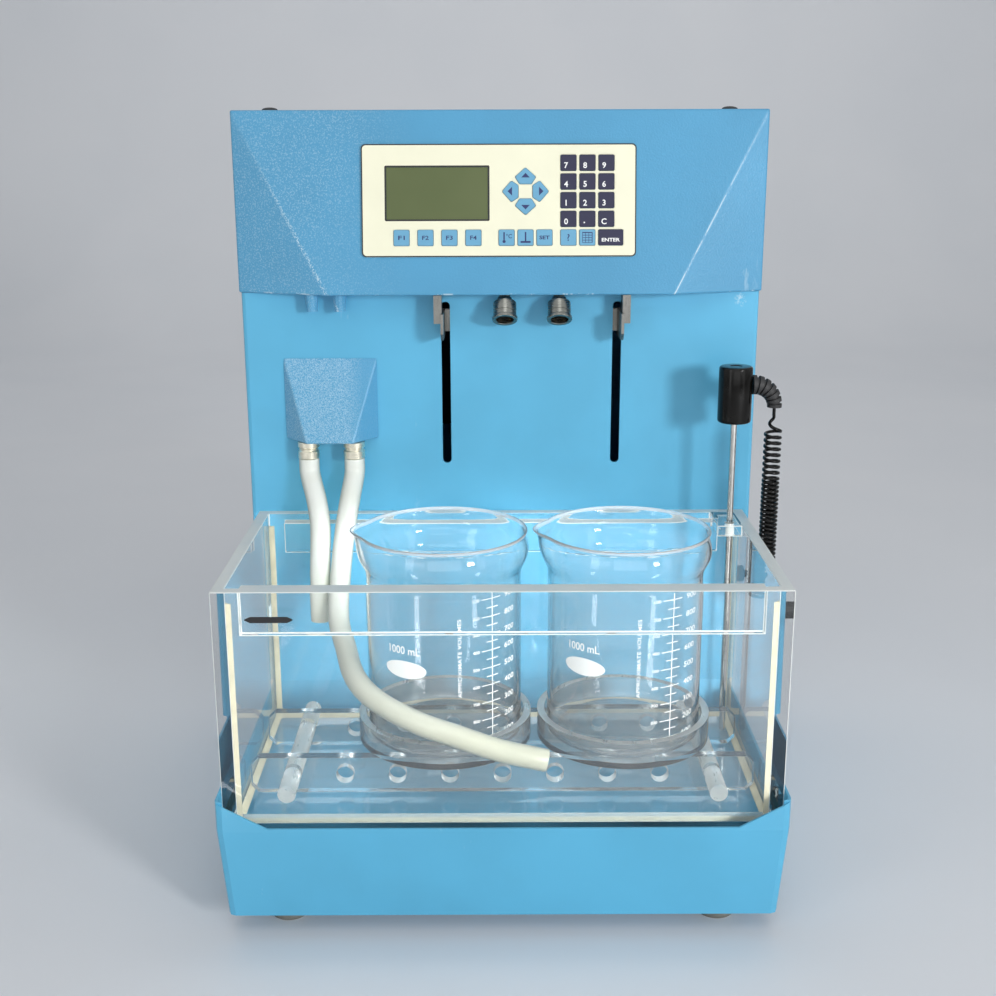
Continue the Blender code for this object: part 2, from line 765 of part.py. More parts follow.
def make_tank():
    side = TANK_WIDTH / 2
    inside = side - TANK_WALL
    front = TANK_FRONT + TANK_WALL
    rear = TANK_REAR - TANK_WALL
    tank = box("water_tank", (-side, TANK_FRONT, TANK_BOTTOM), (side, TANK_REAR, RIM))
    room = box(
        "tank_room", (-inside, front, TANK_INSIDE_BOTTOM), (inside, rear, RIM + OVERRUN)
    )
    front_rib = box(
        "tank_front_rib",
        (-FRONT_RIB_WIDTH / 2, front - SINK, RIM - FRONT_RIB_DROP),
        (FRONT_RIB_WIDTH / 2, front + FRONT_RIB_THICK, RIM),
    )
    rear_rib_top = RIM - REAR_RIB_TOP
    rear_rib = box(
        "tank_rear_rib",
        (-REAR_RIB_WIDTH / 2, rear - REAR_RIB_THICK, rear_rib_top - REAR_RIB_DROP),
        (REAR_RIB_WIDTH / 2, rear + SINK, rear_rib_top),
    )
    tab = box(
        "tank_probe_tab",
        (inside - TAB_WIDTH, rear - TAB_DEPTH, RIM - TAB_THICK),
        (inside + SINK, rear + SINK, RIM),
    )
    hole = cylinder(
        "tank_probe_hole",
        PROBE_HOLE_RADIUS,
        TAB_THICK + 2 * OVERRUN,
        upright(PROBE_X, PROBE_Y, RIM - TAB_THICK - OVERRUN),
    )
    cut(tank, room)
    fuse(tank, front_rib, rear_rib, tab)
    cut(tank, hole)
    painted(tank, "clear_sheet")


def make_seal():
    """Beads of silicone along the floor's edges and up the four corners."""
    side = TANK_WIDTH / 2 - TANK_WALL - GAP
    front = TANK_FRONT + TANK_WALL + GAP
    rear = TANK_REAR - TANK_WALL - GAP
    bottom = TANK_INSIDE_BOTTOM + GAP
    top = RIM - BEAD_TOP
    seal = box("tank_seal", (-side, front, bottom), (side, rear, top))

    def inner_ring(inset, z):
        return [
            (x, y, z)
            for x, y in rectangle(-side + inset, side - inset, front + inset, rear - inset)
        ]

    funnel = lofted(
        "seal_funnel",
        [
            inner_ring(FLOOR_BEAD + OVERRUN, bottom - OVERRUN),
            inner_ring(BEAD_FLAT, bottom + FLOOR_BEAD - BEAD_FLAT),
            inner_ring(BEAD_FLAT, bottom + FLOOR_BEAD),
        ],
    )
    corner_cut = CORNER_BEAD
    corners = [
        (-side + corner_cut, front - OVERRUN),
        (side - corner_cut, front - OVERRUN),
        (side + OVERRUN, front + corner_cut),
        (side + OVERRUN, rear - corner_cut),
        (side - corner_cut, rear + OVERRUN),
        (-side + corner_cut, rear + OVERRUN),
        (-side - OVERRUN, rear - corner_cut),
        (-side - OVERRUN, front + corner_cut),
    ]
    column_base = bottom + FLOOR_BEAD - SINK
    columns = prism(
        "seal_columns", [corners], top - column_base + OVERRUN, upright(0, 0, column_base)
    )
    cut(seal, funnel, columns)
    painted(seal, "silicone")


def make_rack():
    """Two drilled rails on cross rods, with a dish for each beaker."""
    half = RAIL_LENGTH / 2
    outline = [
        (-half + RAIL_CHAMFER, 0),
        (half - RAIL_CHAMFER, 0),
        (half, RAIL_CHAMFER),
        (half, RAIL_HEIGHT - RAIL_CHAMFER),
        (half - RAIL_CHAMFER, RAIL_HEIGHT),
        (-half + RAIL_CHAMFER, RAIL_HEIGHT),
        (-half, RAIL_HEIGHT - RAIL_CHAMFER),
        (-half, RAIL_CHAMFER),
    ]
    middle = (RAIL_HOLE_COUNT - 1) / 2
    last = middle * RAIL_HOLE_PITCH
    holes = []
    for index in range(1, RAIL_HOLE_COUNT - 1):
        x = (index - middle) * RAIL_HOLE_PITCH
        turns = [2 * math.pi * step / SMALL for step in range(SMALL)]
        holes.append(
            [
                (
                    x + RAIL_HOLE_RADIUS * math.cos(turn),
                    RAIL_HEIGHT / 2 + RAIL_HOLE_RADIUS * math.sin(turn),
                )
                for turn in turns
            ]
        )
    front = RAIL_FRONT_Y
    rear = front + RAIL_SPACING
    rails = [
        prism(
            name, [outline, *holes], RAIL_THICK, facing_front(0, y + RAIL_THICK / 2, RAIL_BOTTOM)
        )
        for name, y in (("beaker_rack", front), ("rack_rear_rail", rear))
    ]
    rack = rails[0]
    rod_length = RAIL_SPACING + 2 * CROSS_ROD_OVERHANG
    rod_z = RAIL_BOTTOM + RAIL_HEIGHT / 2
    tools = [rails[1]]
    for end, x in (("left", -last), ("right", last)):
        place = facing_front(x, rear + CROSS_ROD_OVERHANG, rod_z)
        tools.append(cylinder(f"rack_rod_{end}", RAIL_HOLE_RADIUS, rod_length, place, SMALL))
    for end, x in STATIONS.items():
        profile = [
            (0, DISH_FLOOR),
            (DISH_RADIUS - DISH_WALL, DISH_FLOOR),
            (DISH_RADIUS - DISH_WALL, DISH_HEIGHT),
            (DISH_RADIUS, DISH_HEIGHT),
            (DISH_RADIUS, -SINK),
            (0, -SINK),
        ]
        tools.append(turned(f"rack_dish_{end}", profile, upright(x, STATION_Y, RAIL_TOP), FINE))
    fuse(rack, *tools)
    painted(rack, "clear_sheet")


def arc(centre_x, centre_y, radius, start, end, steps):
    """Points on an arc, with angles in degrees."""
    points = []
    for step in range(steps + 1):
        angle = math.radians(start + (end - start) * step / steps)
        points.append((centre_x + radius * math.cos(angle), centre_y + radius * math.sin(angle)))
    return points


def make_beakers():
    body = BEAKER_RADIUS
    inner = body - BEAKER_WALL
    steps = CORNER_STEPS + 1
    lip = BEAKER_WALL / 2
    shoulder = [(swell, BEAKER_HEIGHT - max(drop, lip)) for drop, swell in BEAKER_SHOULDER]
    inside_heel = BEAKER_HEEL - BEAKER_WALL
    inside = arc(inner - inside_heel, BEAKER_FLOOR + inside_heel, inside_heel, -90, 0, steps)
    inside += [(inner + swell, height) for swell, height in reversed(shoulder)]
    outside = [(body + swell, height) for swell, height in shoulder]
    outside += arc(body - BEAKER_HEEL, BEAKER_HEEL, BEAKER_HEEL, 0, -90, steps)
    top = (body + shoulder[0][0] - lip, BEAKER_HEIGHT)
    profile = [(0, BEAKER_FLOOR), *inside, top, *outside, (0, 0)]
    for end, x in STATIONS.items():
        place = upright(x, STATION_Y, BEAKER_BOTTOM)
        beaker = turned(f"beaker_{end}", profile, place, FINE)
        for vertex in beaker.data.vertices:
            point = vertex.co
            side = math.atan2(point.y, -point.x)
            if abs(side) < SPOUT_HALF_ANGLE and point.xy.length > inner - MERGE:
                swell = math.cos(side / SPOUT_HALF_ANGLE * math.pi / 2) ** 2
                share = max(0, 1 - (BEAKER_HEIGHT - point.z) / SPOUT_DROP)
                point.xy += point.xy.normalized() * SPOUT_REACH * swell * share**2
        painted(beaker, "glass")


def make_tower():
    side = TOWER_WIDTH / 2
    inner = side - TOWER_SHEET
    flange = side - TOWER_RETURN
    front, rear = TOWER_FRONT, TOWER_REAR
    outline = [
        (-flange, rear),
        (-side, rear),
        (-side, front),
        (side, front),
        (side, rear),
        (flange, rear),
        (flange, rear - TOWER_SHEET),
        (inner, rear - TOWER_SHEET),
        (inner, front + TOWER_SHEET),
        (-inner, front + TOWER_SHEET),
        (-inner, rear - TOWER_SHEET),
        (-flange, rear - TOWER_SHEET),
    ]
    outer, within, end = TOWER_BEND, TOWER_BEND - TOWER_SHEET, TOWER_SHEET / 4
    radii = [end, outer, outer, outer, outer, end, end, within, within, within, within, end]
    place = upright(0, 0, TOWER_BOTTOM)
    shell = prism("tower_shell", [rounded(outline, radii)], TOWER_TOP - TOWER_BOTTOM, place)
    rim = TOWER_SHEET / 2
    ring = [
        rectangle(-side + rim, side - rim, front + rim, rear - rim),
        rectangle(-flange, flange, front + TOWER_RETURN, rear - TOWER_RETURN),
    ]
    fuse(shell, prism("tower_foot_ring", ring, TOWER_SHEET, place))
    for end, x in STATIONS.items():
        slot = rounded(
            rectangle(x - SLOT_WIDTH / 2, x + SLOT_WIDTH / 2, SLOT_TOP - SLOT_LENGTH, SLOT_TOP),
            SLOT_WIDTH / 2 - SINK / 2,
            CORNER_STEPS + 1,
        )
        depth = TOWER_SHEET + 2 * OVERRUN
        slot_place = facing_front(0, front + TOWER_SHEET + OVERRUN, RIM)
        cut(shell, prism(f"hanger_slot_{end}", [slot], depth, slot_place))
    painted(shell, "tower_blue")


def louvre_outline(top, inset):
    """A louvre seen from its side: Y from the cover's rear face, and Z. It opens downwards."""
    foot = top - LOUVRE_HEIGHT
    if inset:
        root = COVER_SHEET + OVERRUN
        slope = LOUVRE_SHEET * LOUVRE_HEIGHT / LOUVRE_REACH
        lip = LOUVRE_REACH - LOUVRE_SHEET
        return [(-root, foot - SINK), (lip, foot - SINK), (0, top - slope), (-root, top - slope)]
    return [(-SINK, foot), (LOUVRE_REACH, foot), (0, top), (-SINK, top)]


def make_rear_cover():
    side = TOWER_WIDTH / 2 - COVER_MARGIN
    bottom = TOWER_BOTTOM + COVER_MARGIN
    top = TOWER_TOP - COVER_MARGIN
    cover = box("rear_cover", (-side, COVER_FRONT, bottom), (side, COVER_REAR, top))
    rows = [top - LOUVRE_TOP - LOUVRE_PITCH * index for index in range(LOUVRE_COUNT)]
    place = facing_right(-LOUVRE_WIDTH / 2, COVER_REAR, 0)
    shells = prism("louvre_shells", [louvre_outline(row, False) for row in rows], LOUVRE_WIDTH, place)
    end = LOUVRE_SHEET
    mouth_place = facing_right(-LOUVRE_WIDTH / 2 + end, COVER_REAR, 0)
    mouths = prism(
        "louvre_mouths",
        [louvre_outline(row, True) for row in rows],
        LOUVRE_WIDTH - 2 * end,
        mouth_place,
    )
    fuse(cover, shells)
    cut(cover, mouths)
    width = INLET_WIDTH - 2 * INLET_BODY_MARGIN + 2 * GAP
    height = INLET_HEIGHT - 2 * INLET_BODY_MARGIN + 2 * GAP
    hole_place = facing_rear(INLET_X, COVER_FRONT - OVERRUN, RIM - INLET_DROP)
    hole = prism(
        "inlet_hole", [middle_rectangle(width, height)], COVER_SHEET + 2 * OVERRUN, hole_place
    )
    cut(cover, hole)
    painted(cover, "base_blue")


def hood_points(sink):
    """Corners of the head, drawn in by a sheet's thickness where sink is given."""
    side = HOOD_WIDTH / 2 - sink
    face = HOOD_FACE_WIDTH / 2 - sink / 2
    front = TOWER_FRONT + sink
    rear = TOWER_REAR - sink
    top = HOOD_TOP - sink
    bottom = HOOD_BOTTOM + sink
    reach = TOWER_FRONT - HOOD_REACH + sink
    return [
        (-side, front, top), (side, front, top), (side, rear, top), (-side, rear, top),
        (-side, front, bottom), (side, front, bottom), (side, rear, bottom), (-side, rear, bottom),
        (-face, reach, bottom), (face, reach, bottom),
    ]


def make_hood():
    hood = bevelled(faceted("head_hood", hood_points(0)), HOOD_EDGE)
    room = faceted("hood_room", hood_points(HOOD_SHEET))
    side = HOOD_WIDTH / 2 - HOOD_SHEET
    mouth = box(
        "hood_mouth",
        (-side, TOWER_FRONT + HOOD_SHEET, HOOD_BOTTOM - OVERRUN),
        (side, TOWER_REAR - HOOD_SHEET, HOOD_BOTTOM + HOOD_SHEET + SINK),
    )
    cut(hood, room, mouth)
    for index, end in enumerate(("left", "right")):
        x = STUD_LEFT_X + STUD_SPACING * index
        place = upright(x, TOWER_FRONT - STUD_BACK, HOOD_BOTTOM - STUD_LENGTH)
        stud = cylinder(
            f"stud_{end}",
            STUD_RADIUS - STUD_TAPER,
            STUD_LENGTH + SINK,
            place,
            SMALL,
            STUD_RADIUS,
        )
        fuse(hood, stud)
    for end, x in SENSORS.items():
        place = upright(x, TOWER_FRONT - SENSOR_BACK, HOOD_BOTTOM - OVERRUN)
        hole = cylinder(
            f"socket_hole_{end}",
            SPIGOT_RADIUS + GAP,
            HOOD_SHEET + 2 * OVERRUN,
            place,
            SMALL,
        )
        cut(hood, hole)
    painted(hood, "hood_blue")


def make_bumpers():
    side = HOOD_WIDTH / 2 - BUMPER_INSET
    dome = arc(0, 0, 1, 90, 0, CORNER_STEPS + 1)
    profile = [(BUMPER_RADIUS * x, BUMPER_HEIGHT * y) for x, y in dome]
    profile.append((0, 0))
    for end, x in (("left", -side), ("right", side)):
        place = upright(x, TOWER_FRONT + BUMPER_BACK, HOOD_TOP + GAP)
        painted(turned(f"bumper_{end}", profile, place, ROUND), "rubber")


def make_sockets():
    """Round sockets that lean forward as they hang, each with a ring of contact pins."""
    lean = Vector((0, math.sin(SENSOR_TILT), math.cos(SENSOR_TILT)))
    for end, x in SENSORS.items():
        root = Vector((x, TOWER_FRONT - SENSOR_BACK, HOOD_BOTTOM - SENSOR_DROP))
        place = frame_at(root - lean * SENSOR_LENGTH, (1, 0, 0), (0, lean.z, -lean.y))
        profile = [
            (0, SENSOR_LENGTH),
            (SENSOR_NECK_RADIUS, SENSOR_LENGTH),
            (SENSOR_NECK_RADIUS, SENSOR_LENGTH - SENSOR_NECK),
            (SENSOR_RADIUS, SENSOR_LENGTH - SENSOR_NECK),
            (SENSOR_RADIUS, SENSOR_RING),
            (SENSOR_RING_RADIUS, SENSOR_RING),
            (SENSOR_RING_RADIUS, 0),
            (SENSOR_BORE_RADIUS, 0),
            (SENSOR_BORE_RADIUS, SENSOR_BORE_DEPTH),
            (0, SENSOR_BORE_DEPTH),
        ]
        socket = turned(f"sensor_socket_{end}", profile, place, ROUND)
        spigot = cylinder(
            f"socket_spigot_{end}",
            SPIGOT_RADIUS,
            SPIGOT_SINK + SENSOR_DROP + HOOD_SHEET,
            upright(x, root.y, root.z - SPIGOT_SINK),
            SMALL,
        )
        fuse(socket, spigot)
        for index in range(PIN_COUNT):
            angle = 2 * math.pi * index / (PIN_COUNT + 1)
            offset = (PIN_CIRCLE * math.cos(angle), PIN_CIRCLE * math.sin(angle))
            pin_place = place @ upright(*offset, SENSOR_BORE_DEPTH - PIN_LENGTH)
            name = f"socket_pin_{end}_{index}"
            fuse(socket, cylinder(name, PIN_RADIUS, PIN_LENGTH + SINK, pin_place, PIN_SIDES))
        painted(socket, "nickel")


def key_outlines():
    """Each key's middle on the overlay, its outline about that middle, and its look."""
    last_row = FIRST_ROW + 4 * KEY_ROW_PITCH
    square = middle_rectangle(KEY_SIZE, KEY_SIZE)
    keys = {}
    for index in range(4):
        x = FUNCTION_LEFT + FUNCTION_PITCH * index
        keys[f"key_f{index + 1}"] = (x, last_row, square, KEY_CORNER, "light_blue")
    for index, name in enumerate(("temperature", "lift", "set")):
        x = ARROW_MIDDLE + KEY_COLUMN_PITCH * (index - 1)
        keys[f"key_{name}"] = (x, last_row, square, KEY_CORNER, "light_blue")
    names = ("7", "8", "9", "4", "5", "6", "1", "2", "3", "0", "point", "clear", "help", "menu")
    for index, name in enumerate(names):
        row, column = divmod(index, 3)
        x = NUMBER_LEFT + KEY_COLUMN_PITCH * column
        look = "light_blue" if name in ("help", "menu") else "navy"
        keys[f"key_{name}"] = (x, FIRST_ROW + KEY_ROW_PITCH * row, square, KEY_CORNER, look)
    enter_x = NUMBER_LEFT + 2 * KEY_COLUMN_PITCH + (ENTER_WIDTH - KEY_SIZE) / 2
    enter = middle_rectangle(ENTER_WIDTH, KEY_SIZE)
    keys["key_enter"] = (enter_x, last_row, enter, KEY_CORNER, "navy")
    arrow = [
        (ARROW_TIP, 0),
        (ARROW_SHOULDER, ARROW_HALF),
        (ARROW_HEEL, ARROW_HEEL_HALF),
        (ARROW_HEEL, -ARROW_HEEL_HALF),
        (ARROW_SHOULDER, -ARROW_HALF),
    ]
    for index, name in enumerate(("right", "up", "left", "down")):
        spin = Matrix.Rotation(math.radians(90 * index), 2)
        outline = [tuple(spin @ Vector(point)) for point in arrow]
        keys[f"key_{name}"] = (ARROW_MIDDLE, ARROW_ROW, outline, ARROW_CORNER, "light_blue")
    return keys


def grown(outline, amount):
    """An outline moved outward by an amount, with its corners kept."""
    moved = []
    for index, point in enumerate(outline):
        corner = Vector(point)
        before = (corner - Vector(outline[index - 1])).normalized()
        after = (Vector(outline[(index + 1) % len(outline)]) - corner).normalized()
        turn = before.x * after.y - before.y * after.x
        outward = Vector((before.y + after.y, -before.x - after.x)).normalized()
        if turn < 0:
            outward.negate()
        moved.append(tuple(corner + outward * (amount / math.cos(before.angle(after) / 2))))
    return moved


def shifted(outline, x, y):
    return [(x + point[0], y + point[1]) for point in outline]


def make_control_panel():
    """The overlay, its display and the keys, in the leaning face's own frame."""
    up_slope = (0, math.sin(FACE_TILT), math.cos(FACE_TILT))
    face = bpy.data.objects.new("control_face", None)
    face.matrix_world = frame_at((0, TOWER_FRONT, HOOD_TOP), (1, 0, 0), up_slope)
    face.hide_render = True
    PARTS.objects.link(face)
    bpy.context.view_layer.update()

    left = PANEL_MIDDLE_X - PANEL_WIDTH / 2
    top = -PANEL_DROP
    overlay_place = face.matrix_world @ upright(0, 0, GAP)
    sheet = rounded(
        rectangle(left, left + PANEL_WIDTH, top - PANEL_HEIGHT, top), PANEL_CORNER
    )
    overlay = prism("keypad_overlay", [sheet], PANEL_THICK, overlay_place)
    display_left = left + DISPLAY_LEFT
    display_top = top - DISPLAY_DROP
    display = rectangle(
        display_left,
        display_left + DISPLAY_WIDTH,
        display_top - DISPLAY_HEIGHT,
        display_top,
    )
    window = prism("display_window", [display], PANEL_THICK - DISPLAY_RECESS, overlay_place)
    painted(window, "display")
    window.parent = face
    window.matrix_parent_inverse = face.matrix_world.inverted()

    pockets = [grown(display, GAP)]
    key_base = GAP + GAP + KEY_TRAVEL
    for name, (x, drop, outline, corner, look) in key_outlines().items():
        place = face.matrix_world @ upright(left + x, top - drop, key_base)
        key = prism(name, [rounded(outline, corner, 1)], KEY_THICK, place)
        painted(key, look)
        key.parent = face
        key.matrix_parent_inverse = face.matrix_world.inverted()
        pocket = rounded(grown(outline, GAP), corner, 1)
        pockets.append(shifted(pocket, left + x, top - drop))
    pocket_place = face.matrix_world @ upright(0, 0, GAP - OVERRUN)
    cut(overlay, prism("panel_pockets", pockets, PANEL_THICK + 2 * OVERRUN, pocket_place))
    painted(overlay, "cream")


def make_circulator():
    side = PUMP_HOOD_WIDTH / 2
    face = PUMP_HOOD_FACE_WIDTH / 2
    rear = TOWER_FRONT - GAP
    front = TOWER_FRONT - PUMP_HOOD_REACH
    bottom = RIM + PUMP_HOOD_BOTTOM
    top = bottom + PUMP_HOOD_HEIGHT
    middle = PUMP_HOOD_X
    points = [
        (middle - side, rear, bottom), (middle + side, rear, bottom),
        (middle - side, rear, top), (middle + side, rear, top),
        (middle - face, front, bottom), (middle + face, front, bottom),
    ]
    hood = bevelled(faceted("circulator_hood", points), PUMP_HOOD_EDGE, 1)
    reach_x = FITTING_SPACING / 2 + MANIFOLD_HALF
    slot = MANIFOLD_HALF + GAP
    pocket = box(
        "manifold_pocket",
        (middle - reach_x - GAP, FITTING_Y - slot, bottom - OVERRUN),
        (middle + reach_x + GAP, FITTING_Y + slot, bottom + MANIFOLD_HEIGHT + GAP),
    )
    cut(hood, pocket)
    painted(hood, "hood_blue")

    fitting_top = bottom - GAP
    bar = box(
        "hose_fittings",
        (middle - reach_x, FITTING_Y - MANIFOLD_HALF, fitting_top - SINK),
        (middle + reach_x, FITTING_Y + MANIFOLD_HALF, bottom + MANIFOLD_HEIGHT),
    )
    radius = FITTING_RADIUS
    waist = radius - FITTING_GROOVE
    profile = [
        (0, FITTING_LENGTH),
        (radius, FITTING_LENGTH),
        (radius, FITTING_LENGTH * 2 / 3),
        (waist, FITTING_LENGTH * 7 / 12),
        (waist, FITTING_LENGTH / 2),
        (radius, FITTING_LENGTH * 5 / 12),
        (radius, 0),
        (0, 0),
    ]
    for index, end in enumerate(("suction", "return")):
        x = middle + FITTING_SPACING * (index - 0.5)
        place = upright(x, FITTING_Y, fitting_top - FITTING_LENGTH)
        fuse(bar, turned(f"fitting_{end}", profile, place, ROUND))
    painted(bar, "nickel")


def make_hoses():
    """Each hose starts straight down from its fitting and hangs into the bath."""
    fitting_end = RIM + PUMP_HOOD_BOTTOM - GAP - FITTING_LENGTH - GAP
    upper = Vector((PUMP_HOOD_X, TANK_REAR, RIM))
    lower = Vector((PUMP_HOOD_X, TANK_FRONT, TANK_INSIDE_BOTTOM))
    routes = (
        ("suction_hose", -1, [upper + Vector(point) for point in SUCTION_ROUTE]),
        (
            "return_hose",
            1,
            [
                *(upper + Vector(point) for point in RETURN_ROUTE),
                *(lower + Vector(point) for point in RETURN_END),
            ],
        ),
    )
    for name, side, route in routes:
        top = Vector((PUMP_HOOD_X + side * FITTING_SPACING / 2, FITTING_Y, fitting_end))
        start = top - Vector((0, 0, HOSE_LEAD))
        points = smooth_route([start, *route], 2)
        painted(tube(name, [top, *points], HOSE_RADIUS, 3), "hose")


def make_lift_frame():
    """A bracket behind the front panel, with two guide rods between its plates."""
    left = DRIVE_X - FRAME_HALF_WIDTH
    right = DRIVE_X + FRAME_HALF_WIDTH
    front = TOWER_FRONT + TOWER_SHEET + GAP
    rear = front + FRAME_DEPTH
    plate = FRAME_PLATE
    top = RIM + FRAME_TOP
    bottom = RIM + FRAME_BOTTOM
    outline = [
        (front, bottom - FRAME_FLANGE),
        (front + plate, bottom - FRAME_FLANGE),
        (front + plate, bottom),
        (rear, bottom),
        (rear, top + plate),
        (front + plate, top + plate),
        (front + plate, top + FRAME_FLANGE),
        (front, top + FRAME_FLANGE),
        (front, top),
        (rear - plate, top),
        (rear - plate, bottom + plate),
        (front, bottom + plate),
    ]
    frame = prism("lift_frame", [outline], right - left, facing_right(left, 0, 0))
    for end, x in (("left", DRIVE_X - ROD_SPREAD), ("right", DRIVE_X + ROD_SPREAD)):
        place = upright(x, DRIVE_Y, bottom + plate - SINK)
        rod = cylinder(
            f"guide_rod_{end}", GUIDE_RADIUS, top - bottom - plate + 2 * SINK, place, SMALL
        )
        fuse(frame, rod)
    pilot = cylinder(
        "frame_pilot_hole",
        MOTOR_PILOT_RADIUS + GAP,
        plate + 2 * OVERRUN,
        upright(DRIVE_X, DRIVE_Y, top - OVERRUN),
    )
    bearing = cylinder(
        "frame_screw_hole",
        SCREW_RADIUS + GAP,
        plate + 2 * OVERRUN,
        upright(DRIVE_X, DRIVE_Y, bottom - OVERRUN),
        SMALL,
    )
    cut(frame, pilot, bearing)
    painted(frame, "zinc")


def make_drive():
    top = RIM + FRAME_TOP + FRAME_PLATE + GAP
    half = MOTOR_SIZE / 2
    motor = box(
        "lift_motor",
        (DRIVE_X - half, DRIVE_Y - half, top),
        (DRIVE_X + half, DRIVE_Y + half, top + MOTOR_HEIGHT),
    )
    bevelled(motor, MOTOR_EDGE, 1)
    pilot = cylinder(
        "motor_pilot",
        MOTOR_PILOT_RADIUS,
        FRAME_PLATE + SINK,
        upright(DRIVE_X, DRIVE_Y, top - FRAME_PLATE),
    )
    fuse(motor, pilot)
    painted(motor, "motor")

    screw_top = top - FRAME_PLATE - GAP - (RIM + FRAME_BOTTOM)
    coupling = screw_top - COUPLING_LENGTH
    profile = [
        (0, screw_top),
        (COUPLING_RADIUS, screw_top),
        (COUPLING_RADIUS, coupling),
        (SCREW_RADIUS, coupling),
        (SCREW_RADIUS, 0),
        (0, 0),
    ]
    place = upright(DRIVE_X, DRIVE_Y, RIM + FRAME_BOTTOM)
    painted(turned("drive_screw", profile, place, SMALL), "steel")


def make_carriage():
    """The block on the guide rods, its beam, and a hanger through each slot."""
    top = RIM + CARRIAGE_TOP
    block = box(
        "lift_carriage",
        (DRIVE_X - CARRIAGE_HALF_WIDTH, TOWER_FRONT + BEAM_BACK, top - CARRIAGE_HEIGHT),
        (DRIVE_X + CARRIAGE_HALF_WIDTH, TOWER_FRONT + CARRIAGE_REAR, top),
    )
    beam_top = RIM + HANGER_TOP - SINK
    left = STATION_LEFT_X - HANGER_SIDE - HANGER_THICK / 2
    right = STATION_RIGHT_X + HANGER_SIDE + HANGER_THICK / 2
    beam = box(
        "carriage_beam",
        (left, TOWER_FRONT + BEAM_BACK, beam_top - BEAM_HEIGHT),
        (right, TOWER_FRONT + BEAM_BACK + BEAM_THICK, beam_top),
    )
    fuse(block, beam)
    reach = TOWER_FRONT - HANGER_REACH
    root = TOWER_FRONT + BEAM_BACK + BEAM_THICK / 2
    low = RIM + HANGER_TOP - HANGER_HEIGHT
    hanger = [
        (root, low),
        (root, low + HANGER_HEIGHT),
        (reach, low + HANGER_HEIGHT),
        (reach, low + HANGER_CHAMFER),
        (reach + HANGER_CHAMFER, low),
    ]
    flag_low = RIM + HANGER_TOP + FLAG_RISE - FLAG_HEIGHT
    for end, x in STATIONS.items():
        outward = -1 if end == "left" else 1
        plate_left = x + outward * HANGER_SIDE - HANGER_THICK / 2
        place = facing_right(plate_left, 0, 0)
        fuse(block, prism(f"hanger_{end}", [list(reversed(hanger))], HANGER_THICK, place))
        inner = x + outward * (HANGER_SIDE + HANGER_THICK / 2 - SINK)
        outer = x + outward * (HANGER_SIDE + HANGER_THICK / 2 + FLAG_THICK)
        flag = box(
            f"hanger_flag_{end}",
            (min(inner, outer), TOWER_FRONT - FLAG_FRONT, flag_low),
            (max(inner, outer), TOWER_FRONT - FLAG_REAR, flag_low + FLAG_HEIGHT),
        )
        fuse(block, flag)
    depth = CARRIAGE_HEIGHT + 2 * OVERRUN
    bottom = top - CARRIAGE_HEIGHT - OVERRUN
    bores = (
        ("left", -ROD_SPREAD, GUIDE_RADIUS),
        ("middle", 0, SCREW_RADIUS),
        ("right", ROD_SPREAD, GUIDE_RADIUS),
    )
    for end, shift, radius in bores:
        place = upright(DRIVE_X + shift, DRIVE_Y, bottom)
        cut(block, cylinder(f"carriage_bore_{end}", radius + GAP, depth, place, SMALL))
    painted(block, "steel")


def make_probe():
    bottom = RIM + HANDLE_BOTTOM
    handle_profile = [
        (0, HANDLE_LENGTH),
        *arc(
            HANDLE_RADIUS - HANDLE_EDGE,
            HANDLE_LENGTH - HANDLE_EDGE,
            HANDLE_EDGE,
            90,
            0,
            CORNER_STEPS,
        ),
        *arc(HANDLE_RADIUS - HANDLE_EDGE, HANDLE_EDGE, HANDLE_EDGE, 0, -90, CORNER_STEPS),
        (0, 0),
    ]
    handle = turned("probe_handle", handle_profile, upright(PROBE_X, PROBE_Y, bottom), ROUND)
    painted(handle, "black")
    rod_bottom = TANK_INSIDE_BOTTOM + GAP
    rod_length = bottom - GAP - rod_bottom
    place = upright(PROBE_X, PROBE_Y, rod_bottom)
    painted(cylinder("probe_rod", PROBE_RADIUS, rod_length, place, SMALL), "steel")


def make_boot():
    """A ribbed elbow that turns the cord from the handle's side to straight down."""
    start_x = PROBE_X + HANDLE_RADIUS + GAP
    middle_x = start_x + BOOT_LEAD
    top = RIM + BOOT_HEIGHT
    points = [(start_x, PROBE_Y, top)]
    shares = [1.0]
    steps = 2 * BOOT_RIB_COUNT
    for step in range(steps + 1):
        turn = math.radians(90) * step / steps
        x = middle_x + BOOT_BEND * math.sin(turn)
        z = top - BOOT_BEND * (1 - math.cos(turn))
        points.append((x, PROBE_Y, z))
        radius = BOOT_RADIUS + (BOOT_END_RADIUS - BOOT_RADIUS) * step / steps
        rib = BOOT_RIB if step % 2 else 0
        shares.append((radius - rib) / BOOT_RADIUS)
    points.append((COIL_X, PROBE_Y, top - BOOT_BEND - BOOT_LEAD))
    shares.append(BOOT_END_RADIUS / BOOT_RADIUS)
    painted(tube("probe_boot", points, BOOT_RADIUS, 2, shares), "rubber")


